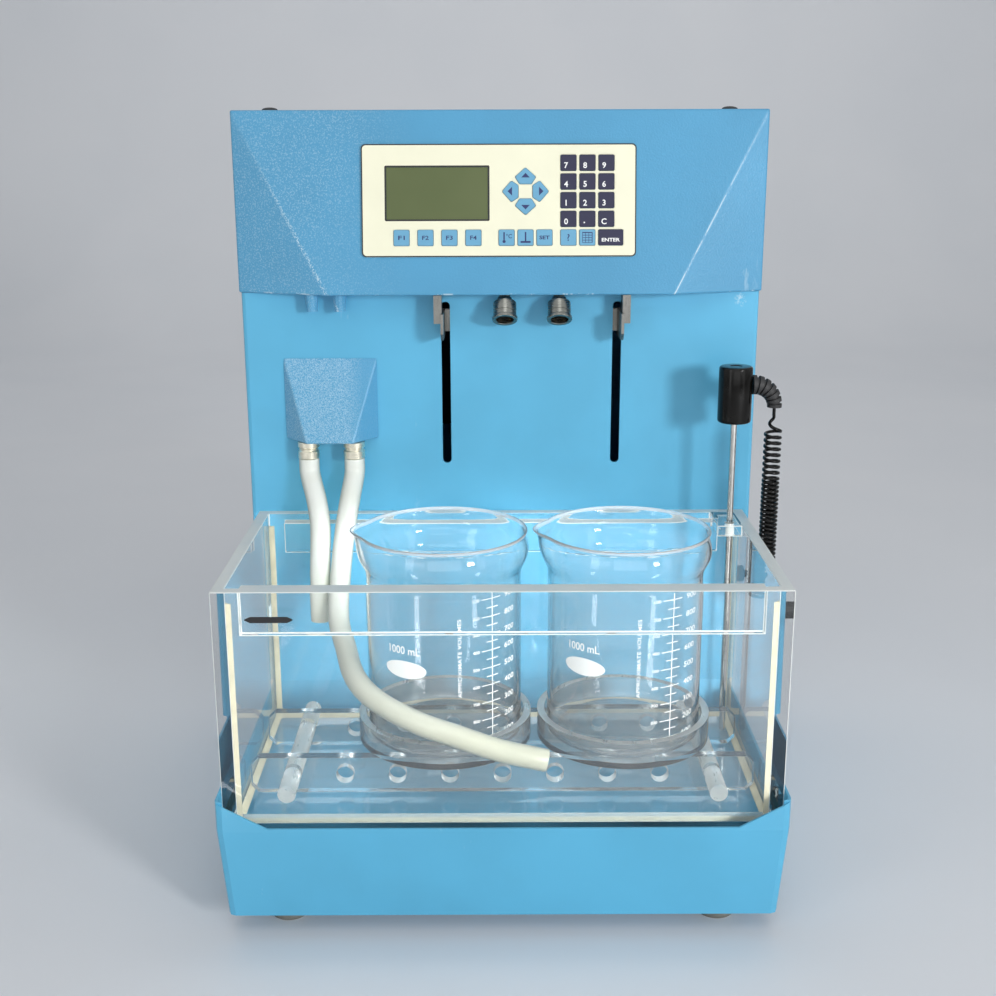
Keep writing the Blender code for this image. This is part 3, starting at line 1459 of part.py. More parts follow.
def cord_points():
    """The cord from the boot, through its curls, to the plug."""
    boot_end = RIM + BOOT_HEIGHT - BOOT_BEND - BOOT_LEAD - GAP
    axis = Vector((COIL_X, PROBE_Y, 0))
    straight = 2 * CORD_RADIUS
    points = [axis + Vector((0, 0, boot_end)), axis + Vector((0, 0, boot_end - straight))]
    coil_top = RIM + COIL_TOP
    lead_steps = POINTS_PER_TURN
    lead_drop = boot_end - 2 * straight - coil_top
    for step in range(lead_steps):
        share = step / lead_steps
        swell = share * share * (3 - 2 * share)
        turn = 2 * math.pi * share
        arm = Vector((math.cos(turn), math.sin(turn), 0)) * COIL_RADIUS * swell
        points.append(axis + arm + Vector((0, 0, coil_top + lead_drop * (1 - share))))
    height = coil_top
    turns = LOOSE_TURNS + CLOSE_TURNS
    for step in range(turns * POINTS_PER_TURN + 1):
        turn = 2 * math.pi * step / POINTS_PER_TURN
        arm = Vector((math.cos(turn), math.sin(turn), 0)) * COIL_RADIUS
        points.append(axis + arm + Vector((0, 0, height)))
        pitch = LOOSE_PITCH if step < LOOSE_TURNS * POINTS_PER_TURN else CLOSE_PITCH
        height -= pitch / POINTS_PER_TURN
    coil_end = points[-1]
    coil_bottom = Vector((COIL_X, PROBE_Y, coil_end.z))
    plug_end = Vector((PLUG_X + PLUG_RELIEF + GAP, PLUG_Y, PLUG_Z))
    tail = [coil_end, *(coil_bottom + Vector(point) for point in TAIL_ROUTE)]
    bend = Vector((4 * straight, -straight / 2, 0))
    tail += [plug_end + bend, plug_end + Vector((straight, 0, 0)), plug_end]
    points += smooth_route(tail, 2)[1:]
    return points


def least_gap(points, diameter, skip):
    """The least clear distance between points of the cord that are a few steps apart."""
    least = math.inf
    for index, point in enumerate(points):
        for other in points[index + skip:]:
            least = min(least, (other - point).length)
    return least - diameter


def make_cord():
    points = cord_points()
    length = sum((after - before).length for before, after in zip(points, points[1:]))
    gap = least_gap(points, 2 * CORD_RADIUS, POINTS_PER_TURN // 2)
    print(f"probe_cord: length {length:.3f} m, least gap between its curls {gap * 1000:.2f} mm")
    painted(tube("probe_cord", points, CORD_RADIUS, 1), "black")


def make_plug():
    profile = [
        (0, PLUG_RELIEF),
        (PLUG_RELIEF_RADIUS, PLUG_RELIEF),
        (PLUG_RELIEF_RADIUS + BOOT_RIB, PLUG_LENGTH),
        (PLUG_RADIUS, PLUG_LENGTH),
        (PLUG_RADIUS, PLUG_COLLAR),
        (PLUG_COLLAR_RADIUS, PLUG_COLLAR),
        (PLUG_COLLAR_RADIUS, 0),
        (0, 0),
    ]
    place = facing_right(PLUG_X, PLUG_Y, PLUG_Z)
    painted(turned("cord_plug", profile, place, ROUND), "black")


def make_inlet():
    """A mains inlet with a shrouded three blade socket below and a rocker's pocket above."""
    face_y = COVER_REAR + GAP + INLET_FLANGE
    middle_z = RIM - INLET_DROP
    flange = rounded(middle_rectangle(INLET_WIDTH, INLET_HEIGHT), INLET_CORNER)
    flange_place = facing_rear(INLET_X, COVER_REAR + GAP, middle_z)
    inlet = prism("mains_inlet", [flange], INLET_FLANGE, flange_place)
    margin = 2 * INLET_BODY_MARGIN
    body = middle_rectangle(INLET_WIDTH - margin, INLET_HEIGHT - margin)
    body_place = facing_rear(INLET_X, COVER_REAR + GAP - INLET_BODY_DEPTH, middle_z)
    fuse(inlet, prism("inlet_body", [body], INLET_BODY_DEPTH + SINK, body_place))
    half_width, half_height = SOCKET_WIDTH / 2, SOCKET_HEIGHT / 2
    chamfer = SOCKET_CHAMFER
    shroud = [
        (-half_width, -half_height),
        (half_width, -half_height),
        (half_width, half_height - chamfer),
        (half_width - chamfer, half_height),
        (-half_width + chamfer, half_height),
        (-half_width, half_height - chamfer),
    ]
    socket_z = middle_z - SOCKET_SHIFT
    shroud_place = facing_rear(INLET_X, face_y - SOCKET_DEPTH, socket_z)
    cut(inlet, prism("inlet_shroud", [shroud], SOCKET_DEPTH + OVERRUN, shroud_place))
    blades = ((-BLADE_SPACING, -BLADE_RISE), (0, BLADE_RISE), (BLADE_SPACING, -BLADE_RISE))
    blade_place = facing_rear(INLET_X, face_y - SOCKET_DEPTH - SINK, socket_z)
    outlines = [middle_rectangle(BLADE_THICK, BLADE_HEIGHT, x, y) for x, y in blades]
    fuse(inlet, prism("inlet_blades", outlines, BLADE_LENGTH + SINK, blade_place))
    pocket = middle_rectangle(ROCKER_WIDTH + 2 * GAP, ROCKER_LENGTH + 2 * ROCKER_END_GAP)
    rocker_z = middle_z + ROCKER_SHIFT
    pocket_place = facing_rear(INLET_X, face_y - ROCKER_POCKET, rocker_z)
    cut(inlet, prism("rocker_pocket", [pocket], ROCKER_POCKET + OVERRUN, pocket_place))
    painted(inlet, "black")

    half = ROCKER_LENGTH / 2
    rocker = [
        (ROCKER_VALLEY, 0),
        (ROCKER_RISE, half),
        (0, half),
        (-ROCKER_DEPTH, half / 3),
        (-ROCKER_DEPTH, -half / 3),
        (0, -half),
        (ROCKER_RISE, -half),
    ]
    place = facing_right(INLET_X, face_y - ROCKER_PIVOT, rocker_z)
    tilt = Matrix.Rotation(ROCKER_TILT, 4, "Z")
    switch = prism("power_switch", [rocker], ROCKER_WIDTH, place @ tilt)
    switch.data.transform(upright(0, 0, -ROCKER_WIDTH / 2))
    painted(switch, "black")


for old in list(bpy.data.objects):
    bpy.data.objects.remove(old)

PARTS = new_collection("tablet_disintegration_tester")
CUTTERS = new_collection("cutters")

make_base()
make_feet()
make_tank()
make_seal()
make_rack()
make_beakers()
make_tower()
make_rear_cover()
make_hood()
make_bumpers()
make_sockets()
make_control_panel()
make_circulator()
make_hoses()
make_lift_frame()
make_drive()
make_carriage()
make_probe()
make_boot()
make_cord()
make_plug()
make_inlet()
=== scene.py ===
"""A tablet disintegration tester: a sheet-metal tower over a clear water bath with two beakers."""

import math
from contextlib import contextmanager

import bmesh
import bpy
from mathutils import Matrix, Vector


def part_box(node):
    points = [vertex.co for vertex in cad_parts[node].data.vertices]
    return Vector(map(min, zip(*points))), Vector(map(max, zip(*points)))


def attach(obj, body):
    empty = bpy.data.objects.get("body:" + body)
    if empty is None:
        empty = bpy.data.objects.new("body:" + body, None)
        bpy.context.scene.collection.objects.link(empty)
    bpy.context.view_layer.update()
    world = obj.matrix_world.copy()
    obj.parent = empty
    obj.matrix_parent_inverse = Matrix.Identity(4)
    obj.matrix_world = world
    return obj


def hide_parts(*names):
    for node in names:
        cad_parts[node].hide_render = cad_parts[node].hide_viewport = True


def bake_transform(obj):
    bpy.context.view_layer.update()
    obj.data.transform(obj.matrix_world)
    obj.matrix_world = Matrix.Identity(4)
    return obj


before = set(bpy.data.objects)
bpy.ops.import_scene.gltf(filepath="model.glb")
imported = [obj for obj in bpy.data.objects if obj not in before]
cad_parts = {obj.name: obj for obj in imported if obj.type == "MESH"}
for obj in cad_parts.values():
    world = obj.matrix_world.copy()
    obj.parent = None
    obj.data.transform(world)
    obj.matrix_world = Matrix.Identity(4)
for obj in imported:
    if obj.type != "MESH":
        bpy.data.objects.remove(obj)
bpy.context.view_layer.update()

bl_info = {
    "name": "Tablet disintegration tester",
    "version": (1, 0, 0),
    "blender": (4, 5, 0),
    "location": "3D View > Sidebar > Tester",
    "description": "Builds a bench tester for tablets with its bath, beakers, hoses and probe",
    "category": "Object",
}

# Planes of the machine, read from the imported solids
TANK_LOW, TANK_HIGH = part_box("water_tank")
TOWER_LOW, TOWER_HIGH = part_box("tower_shell")
HOOD_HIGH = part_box("head_hood")[1]
COVER_LOW, COVER_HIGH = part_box("rear_cover")
RIM = TANK_HIGH.z
TANK_FRONT = TANK_LOW.y
TANK_REAR = TANK_HIGH.y
TANK_SIDE = TANK_HIGH.x
TOWER_FRONT = TOWER_LOW.y
STATIONS = {"left": -0.0398, "right": 0.0845}
STATION_Y = TANK_FRONT + 0.0933

GAP = 0.0003
COVER_SHEET = 0.0015
TANK_WALL = 0.008
TANK_FLOOR = 0.010
BEAKER_RADIUS = 0.053
RAIL_INSETS = (0.0545, 0.1277)
RAIL_HEIGHT = 0.0251
ROD_X = 0.142
HOOD_BOTTOM = RIM + 0.1616
PUMP_X = -0.1243
HOSE_SPREAD = 0.0167
HOSE_TOP = RIM + 0.0417
HOSE_START_Y = TOWER_FRONT - 0.011
HOSE_LEAD = 0.004

# Routes of the two hoses: X from the circulator's middle, Y from the tank's rear, Z from its rim
HOSE_ROUTES = {
    "suction_hose": (
        (-0.0160, -0.0070, 0.0290),
        (-0.0105, -0.0185, 0.0125),
        (-0.0073, -0.0280, -0.0060),
        (-0.0080, -0.0335, -0.0390),
        (-0.0075, -0.0355, -0.0720),
    ),
    "return_hose": (
        (0.0164, -0.0070, 0.0290),
        (0.0135, -0.0190, 0.0120),
        (0.0107, -0.0290, -0.0070),
        (0.0073, -0.0395, -0.0400),
        (0.0078, -0.0555, -0.0650),
        (0.0153, -0.0815, -0.0780),
        (0.0218, -0.1065, -0.0840),
        (0.0313, -0.1265, -0.0885),
        (0.0468, -0.1430, -0.0935),
        (0.0703, -0.1575, -0.0995),
        (0.0943, -0.1615, -0.1065),
        (0.1223, -0.1620, -0.1165),
        (0.1533, -0.1615, -0.1240),
    ),
}

PROBE = Vector((0.1648, TANK_REAR - 0.0355, 0))
HANDLE_RADIUS = 0.0118
HANDLE_BOTTOM = RIM + 0.074
HANDLE_LENGTH = 0.040
BOOT_TOP = RIM + 0.1007
BOOT_BEND = 0.015
BOOT_LEAD = 0.001
BOOT_RADIUS = 0.007
BOOT_END = 0.0052
COIL_X = PROBE.x + HANDLE_RADIUS + GAP + BOOT_LEAD + BOOT_BEND
COIL_RADIUS = 0.0053
COIL_TOP = RIM + 0.067
COIL_TURNS = ((8, 0.0043), (28, 0.0031))
PLUG = Vector((0.1873, TOWER_FRONT + 0.0466, RIM - 0.068))
PLUG_RELIEF = 0.018

# Route of the straight end of the curly cord, from the coil's lower end
CORD_TAIL = (
    (0.0055, 0.0075, -0.0012),
    (0.0062, 0.0250, -0.0060),
    (0.0108, 0.0480, -0.0110),
    (0.0187, 0.0660, -0.0120),
    (0.0237, 0.0780, -0.0110),
)

# How far a beaker's side stands out at each drop below its rim
BEAKER_SHOULDER = (
    (0.000, 0.0044),
    (0.003, 0.0036),
    (0.006, 0.0038),
    (0.010, 0.0048),
    (0.014, 0.0053),
    (0.018, 0.0047),
    (0.022, 0.0028),
    (0.026, 0.0009),
    (0.030, 0.0000),
)

PANEL_LEFT = -0.097
PANEL_TOP = -0.0237
PANEL_WIDTH = 0.192
PANEL_HEIGHT = 0.0778
FACE_TILT = math.atan2(0.0226, HOOD_HIGH.z - HOOD_BOTTOM)
KEY_FRONT = 0.0026
OVERLAY_FRONT = 0.0018
NUMBER_KEYS = ("0", "1", "2", "3", "4", "5", "6", "7", "8", "9", "point", "clear", "enter")


def size_of(name, description, default):
    return bpy.props.FloatProperty(name=name, description=description, default=default, unit="LENGTH")


def paint_of(name, description, default):
    return bpy.props.FloatVectorProperty(
        name=name, description=description, default=default, subtype="COLOR"
    )


class TESTER_PG_sizes(bpy.types.PropertyGroup):
    """Sizes of the pieces that are modelled here."""

    hose_diameter: size_of("Hose diameter", "Outside diameter of the two silicone hoses", 0.015)
    hose_wall: size_of("Hose wall", "Wall thickness of the two silicone hoses", 0.0022)
    cord_diameter: size_of("Cord diameter", "Diameter of the probe's curly cord", 0.0024)
    plate_edge: size_of("Acrylic edge", "Width of the polished edges of the clear plates", 0.0006)
    glass_wall: size_of("Glass wall", "Wall thickness of the beakers", 0.0018)
    print_height: size_of("Beaker figures", "Height of the figures on the beakers", 0.0038)


class TESTER_PG_colours(bpy.types.PropertyGroup):
    """Colours of the finishes."""

    hood_paint: paint_of("Head paint", "Colour of the textured paint on the head", (0.080, 0.322, 0.536))
    tower_paint: paint_of("Tower paint", "Colour of the paint on the tower", (0.108, 0.450, 0.690))
    base_paint: paint_of("Base paint", "Colour of the paint on the base", (0.094, 0.410, 0.630))
    overlay: paint_of("Overlay", "Colour of the keypad's sheet", (0.900, 0.885, 0.680))
    number_keys: paint_of("Number keys", "Colour of the number keys", (0.012, 0.012, 0.046))
    function_keys: paint_of("Function keys", "Colour of the function and arrow keys", (0.146, 0.391, 0.587))
    silicone: paint_of("Silicone", "Colour of the beads in the tank's corners", (0.66, 0.61, 0.44))


def sizes():
    return bpy.context.scene.tester_sizes


def colours():
    return bpy.context.scene.tester_colours


def clear_selection():
    for piece in bpy.context.selected_objects:
        piece.select_set(False)


def activate(piece):
    clear_selection()
    piece.select_set(True)
    bpy.context.view_layer.objects.active = piece


@contextmanager
def editing(piece, kind="FACE"):
    """Edit mode on one piece with nothing selected."""
    activate(piece)
    bpy.ops.object.mode_set(mode="EDIT")
    bpy.ops.mesh.select_mode(type=kind)
    bpy.ops.mesh.select_all(action="DESELECT")
    yield
    bpy.ops.object.mode_set(mode="OBJECT")


def pick_faces(piece, test):
    shape = bmesh.from_edit_mesh(piece.data)
    shape.faces.ensure_lookup_table()
    for face in shape.faces:
        face.select_set(test(face))
    bmesh.update_edit_mesh(piece.data)


def pick_edges(piece, test):
    shape = bmesh.from_edit_mesh(piece.data)
    for edge in shape.edges:
        edge.select_set(test(edge))
    bmesh.update_edit_mesh(piece.data)


def upward(face):
    return face.normal.z > 0.99


def pushed(shift):
    """Extrudes the picked faces by a shift."""
    bpy.ops.mesh.extrude_region_move(TRANSFORM_OT_translate={"value": shift})


def settle(piece):
    """Puts the piece's place into its mesh."""
    activate(piece)
    bpy.ops.object.transform_apply(location=True, rotation=True, scale=True)


def added_block(name, low, high):
    clear_selection()
    low, high = Vector(low), Vector(high)
    bpy.ops.mesh.primitive_cube_add(size=1, location=(low + high) / 2)
    block = bpy.context.object
    block.name = name
    block.scale = high - low
    settle(block)
    return block


def added_round(name, radius, low, high, steps=48):
    """A round bar between two points."""
    clear_selection()
    low, high = Vector(low), Vector(high)
    length = (high - low).length
    bpy.ops.mesh.primitive_cylinder_add(
        vertices=steps, radius=radius, depth=length, location=(low + high) / 2
    )
    bar = bpy.context.object
    bar.name = name
    bar.rotation_mode = "QUATERNION"
    bar.rotation_quaternion = (high - low).to_track_quat("Z", "Y")
    settle(bar)
    return bar


def spun(name, profile, place=Matrix.Identity(4), steps=64):
    """A shape turned about Z from a profile of radii and heights, then put in its place."""
    clear_selection()
    mesh = bpy.data.meshes.new(name)
    line = [(radius, 0, height) for radius, height in profile]
    mesh.from_pydata(line, [(index, index + 1) for index in range(len(line) - 1)], [])
    piece = bpy.data.objects.new(name, mesh)
    bpy.context.scene.collection.objects.link(piece)
    with editing(piece, "VERT"):
        bpy.ops.mesh.select_all(action="SELECT")
        bpy.ops.mesh.spin(
            steps=steps, angle=math.tau, center=(0, 0, 0), axis=(0, 0, 1), use_auto_merge=False
        )
        bpy.ops.mesh.select_all(action="SELECT")
        bpy.ops.mesh.remove_doubles(threshold=0.000002)
        bpy.ops.mesh.normals_make_consistent(inside=False)
    piece.matrix_world = place
    settle(piece)
    return piece


def softened(piece, width, segments=3, angle=30):
    """Rounds the piece's sharp edges."""
    activate(piece)
    edge = piece.modifiers.new("edge", "BEVEL")
    edge.width = width
    edge.segments = segments
    edge.limit_method = "ANGLE"
    edge.angle_limit = math.radians(angle)
    edge.harden_normals = False
    bpy.ops.object.modifier_apply(modifier=edge.name)
    return piece


def combined(piece, tool, operation):
    activate(piece)
    change = piece.modifiers.new("change", "BOOLEAN")
    change.operation = operation
    change.object = tool
    change.solver = "EXACT"
    bpy.ops.object.modifier_apply(modifier=change.name)
    bpy.data.objects.remove(tool, do_unlink=True)
    return piece


def merged(name, pieces):
    clear_selection()
    for piece in pieces:
        piece.select_set(True)
    bpy.context.view_layer.objects.active = pieces[0]
    if len(pieces) > 1:
        bpy.ops.object.join()
    pieces[0].name = name
    return pieces[0]


def copied(piece, name, shift):
    """A copy with its own mesh, moved by a shift."""
    activate(piece)
    bpy.ops.object.duplicate(linked=False)
    copy = bpy.context.object
    copy.name = name
    copy.location = shift
    settle(copy)
    return copy


def round_corners(left, right, low, high, radius, steps=4):
    """Points around a rectangle with round corners."""
    corners = (
        (right - radius, low + radius, -90),
        (right - radius, high - radius, 0),
        (left + radius, high - radius, 90),
        (left + radius, low + radius, 180),
    )
    return [point for x, y, start in corners for point in arc(x, y, radius, start, start + 90, steps)]


def arc(across, up, radius, start, stop, steps, rise=None):
    """Points on an arc between two angles in degrees, on an ellipse where a rise is given."""
    rise = radius if rise is None else rise
    turns = [math.radians(start + (stop - start) * step / steps) for step in range(steps + 1)]
    return [(across + radius * math.cos(turn), up + rise * math.sin(turn)) for turn in turns]


def oblong(left, right, low, high):
    return [(left, low), (right, low), (right, high), (left, high)]


def raised(point, height):
    return point + Vector((0, 0, height))


def oval(width, height, steps=48):
    return arc(0, 0, width / 2, 0, 360, steps, height / 2)[:-1]


def welded(piece):
    """Closes the seams of a converted curve."""
    with editing(piece, "VERT"):
        bpy.ops.mesh.select_all(action="SELECT")
        bpy.ops.mesh.remove_doubles(threshold=0.000001)
        bpy.ops.mesh.normals_make_consistent(inside=False)
    return piece


def flat_shape(name, outlines, depth):
    """Flat outlines with a little thickness. An outline inside another is a hole."""
    curve = bpy.data.curves.new(name, "CURVE")
    curve.dimensions = "2D"
    curve.fill_mode = "BOTH"
    curve.extrude = depth / 2
    for outline in outlines:
        line = curve.splines.new("POLY")
        line.points.add(len(outline) - 1)
        line.use_cyclic_u = True
        for point, (x, y) in zip(line.points, outline):
            point.co = (x, y, 0, 1)
    shape = bpy.data.objects.new(name, curve)
    bpy.context.scene.collection.objects.link(shape)
    activate(shape)
    bpy.ops.object.convert(target="MESH")
    return welded(bpy.context.object)


def lettering(name, words, height, depth, length=None, weight=0.012):
    """Words as a thin mesh, centred, with a given height."""
    clear_selection()
    bpy.ops.object.text_add()
    piece = bpy.context.object
    piece.name = name
    piece.data.body = words
    piece.data.size = 1
    piece.data.offset = weight
    piece.data.extrude = 0.02
    piece.data.resolution_u = 3
    bpy.ops.object.convert(target="MESH")
    piece = bpy.context.object
    low = [min(vertex.co[axis] for vertex in piece.data.vertices) for axis in range(3)]
    high = [max(vertex.co[axis] for vertex in piece.data.vertices) for axis in range(3)]
    rise = height / (high[1] - low[1])
    stretch = length / (high[0] - low[0]) if length else rise
    middle = Matrix.Translation([-(a + b) / 2 for a, b in zip(low, high)])
    size = Matrix.Diagonal((stretch, rise, depth / (high[2] - low[2]), 1))
    piece.data.transform(size @ middle)
    return welded(piece)


def moved(piece, place):
    piece.matrix_world = place
    settle(piece)
    return piece


def thin_faces(piece, width, index):
    """Gives the narrow faces of rounded edges their own finish."""
    for face in piece.data.polygons:
        ends = [piece.data.vertices[vertex].co for vertex in face.vertices]
        longest = max((a - b).length for a, b in zip(ends, ends[1:] + ends[:1]))
        if face.area < width * longest:
            face.material_index = index


def coated(piece, *finishes):
    for finish in finishes:
        piece.data.materials.append(finish_named(finish))


def finished(piece, body, finish, replaces=(), smooth=35):
    settle(piece)
    bpy.ops.object.shade_smooth_by_angle(angle=math.radians(smooth))
    if finish:
        coated(piece, finish)
    piece.data.name = piece.name
    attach(piece, body)
    if replaces:
        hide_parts(*replaces)
    return piece


def frame_at(origin, x_axis, y_axis):
    x_axis = Vector(x_axis).normalized()
    y_axis = Vector(y_axis).normalized()
    axes = Matrix((x_axis, y_axis, x_axis.cross(y_axis))).transposed()
    return Matrix.Translation(origin) @ axes.to_4x4()


def face_frame():
    """The leaning face of the head, with X to the right, Y up the slope and Z outward."""
    up_slope = (0, math.sin(FACE_TILT), math.cos(FACE_TILT))
    return frame_at((0, TOWER_FRONT, HOOD_HIGH.z), (1, 0, 0), up_slope)


def smooth_route(points, steps):
    """Points on a smooth curve through the given ones."""
    knots = [Vector(point) for point in points]
    knots = [2 * knots[0] - knots[1], *knots, 2 * knots[-1] - knots[-2]]
    route = []
    for before, start, end, after in zip(knots, knots[1:], knots[2:], knots[3:]):
        for step in range(steps):
            share = step / steps
            lead = (end - before) * share
            bend = (2 * before - 5 * start + 4 * end - after) * share**2
            twist = (3 * start - before - 3 * end + after) * share**3
            route.append(start + (lead + bend + twist) / 2)
    return [*route, knots[-2]]


def swept(name, points, radius, resolution, shares=None, capped=True):
    """A round tube along points, made from a curve."""
    curve = bpy.data.curves.new(name, "CURVE")
    curve.dimensions = "3D"
    curve.bevel_depth = radius
    curve.bevel_resolution = resolution
    curve.use_fill_caps = capped
    line = curve.splines.new("POLY")
    line.points.add(len(points) - 1)
    for index, point in enumerate(points):
        line.points[index].co = (*point, 1)
        line.points[index].radius = shares[index] if shares else 1
    piece = bpy.data.objects.new(name, curve)
    bpy.context.scene.collection.objects.link(piece)
    activate(piece)
    bpy.ops.object.convert(target="MESH")
    return bpy.context.object


# Finishes


class Finish:
    """A procedural material that is built up node by node."""

    def __init__(self, name, colour, roughness, metallic=0.0):
        self.material = bpy.data.materials.new(name)
        self.material.use_nodes = True
        self.tree = self.material.node_tree
        self.shader = self.tree.nodes["Principled BSDF"]
        self.shader.inputs["Base Color"].default_value = (*colour, 1)
        self.shader.inputs["Roughness"].default_value = roughness
        self.shader.inputs["Metallic"].default_value = metallic
        self.material.diffuse_color = (*colour, 1)
        self.place = None

    def node(self, kind, **values):
        node = self.tree.nodes.new(kind)
        for name, value in values.items():
            if hasattr(node, name):
                setattr(node, name, value)
            else:
                node.inputs[name.replace("_", " ")].default_value = value
        return node

    def link(self, output, socket):
        self.tree.links.new(output, socket)

    def point(self, stretch=None):
        """Object coordinates, stretched along the axes where that is wanted."""
        if self.place is None:
            self.place = self.node("ShaderNodeTexCoord")
        if stretch is None:
            return self.place.outputs["Object"]
        mapping = self.node("ShaderNodeMapping")
        mapping.inputs["Scale"].default_value = stretch
        self.link(self.place.outputs["Object"], mapping.inputs["Vector"])
        return mapping.outputs["Vector"]

    def noise(self, scale, detail=2.0, roughness=0.5, stretch=None):
        noise = self.node("ShaderNodeTexNoise")
        noise.inputs["Scale"].default_value = scale
        noise.inputs["Detail"].default_value = detail
        noise.inputs["Roughness"].default_value = roughness
        self.link(self.point(stretch), noise.inputs["Vector"])
        return noise.outputs["Fac"]

    def ramp(self, source, low, high, start=0.0, end=1.0):
        """Maps a source's range onto another range."""
        spread = self.node("ShaderNodeMapRange")
        spread.inputs["From Min"].default_value = low
        spread.inputs["From Max"].default_value = high
        spread.inputs["To Min"].default_value = start
        spread.inputs["To Max"].default_value = end
        self.link(source, spread.inputs["Value"])
        return spread.outputs["Result"]

    def maths(self, operation, first, second=None):
        node = self.node("ShaderNodeMath", operation=operation)
        for index, value in enumerate((first, second)):
            if value is None:
                continue
            if isinstance(value, (int, float)):
                node.inputs[index].default_value = value
            else:
                self.link(value, node.inputs[index])
        return node.outputs["Value"]

    def times(self, first, second):
        return self.maths("MULTIPLY", first, second)

    def most(self, first, second):
        return self.maths("MAXIMUM", first, second)

    def axes(self):
        """The object's own X, Y and Z at each point."""
        place = self.node("ShaderNodeSeparateXYZ")
        self.link(self.point(), place.inputs["Vector"])
        return place.outputs

    def set(self, **values):
        """Constant values on the shader's own sockets."""
        for name, value in values.items():
            self.shader.inputs[name.replace("_", " ")].default_value = value

    def mixed(self, share, first, second):
        """A colour between two, by a share."""
        mix = self.node("ShaderNodeMix", data_type="RGBA")
        sockets = {socket.identifier: socket for socket in mix.inputs}
        self.link(share, sockets["Factor_Float"])
        for key, value in (("A_Color", first), ("B_Color", second)):
            if isinstance(value, tuple):
                sockets[key].default_value = (*value, 1)
            else:
                self.link(value, sockets[key])
        outputs = {socket.identifier: socket for socket in mix.outputs}
        return outputs["Result_Color"]

    def colour(self, output):
        self.link(output, self.shader.inputs["Base Color"])

    def rough(self, output):
        self.link(output, self.shader.inputs["Roughness"])

    def bump(self, output, distance, strength=1.0):
        bump = self.node("ShaderNodeBump")
        bump.inputs["Distance"].default_value = distance
        bump.inputs["Strength"].default_value = strength
        self.link(output, bump.inputs["Height"])
        self.link(bump.outputs["Normal"], self.shader.inputs["Normal"])


def tint(colour, share):
    """A colour made darker or lighter by a share."""
    return tuple(min(1.0, value * share) for value in colour)


def painted_sheet(name, colour, scuffs=0.5, chip=None):
    """Sprayed paint on sheet metal: a fine orange peel, faint clouds and a few rubbed spots."""
    finish = Finish(name, colour, 0.4)
    clouds = finish.noise(14, 3)
    paint = finish.mixed(finish.ramp(clouds, 0.35, 0.65), tint(colour, 0.95), tint(colour, 1.04))
    worn = finish.ramp(finish.noise(46, 5, 0.7, (1, 1, 0.35)), 0.67, 0.75, 0, scuffs * 0.4)
    if chip:
        near = finish.node("ShaderNodeVectorMath", operation="DISTANCE")
        finish.link(finish.point(), near.inputs[0])
        near.inputs[1].default_value = chip
        patch = finish.ramp(near.outputs["Value"], 0.002, 0.006, 0.6, 0)
        flakes = finish.ramp(finish.noise(420, 4, 0.7), 0.50, 0.58)
        worn = finish.most(worn, finish.times(patch, flakes))
    finish.colour(finish.mixed(worn, paint, (0.62, 0.78, 0.84)))
    finish.rough(finish.ramp(finish.noise(90, 4, 0.6), 0.3, 0.7, 0.34, 0.48))
    finish.bump(finish.noise(1100, 2), 0.00006, 0.6)
    return finish.material


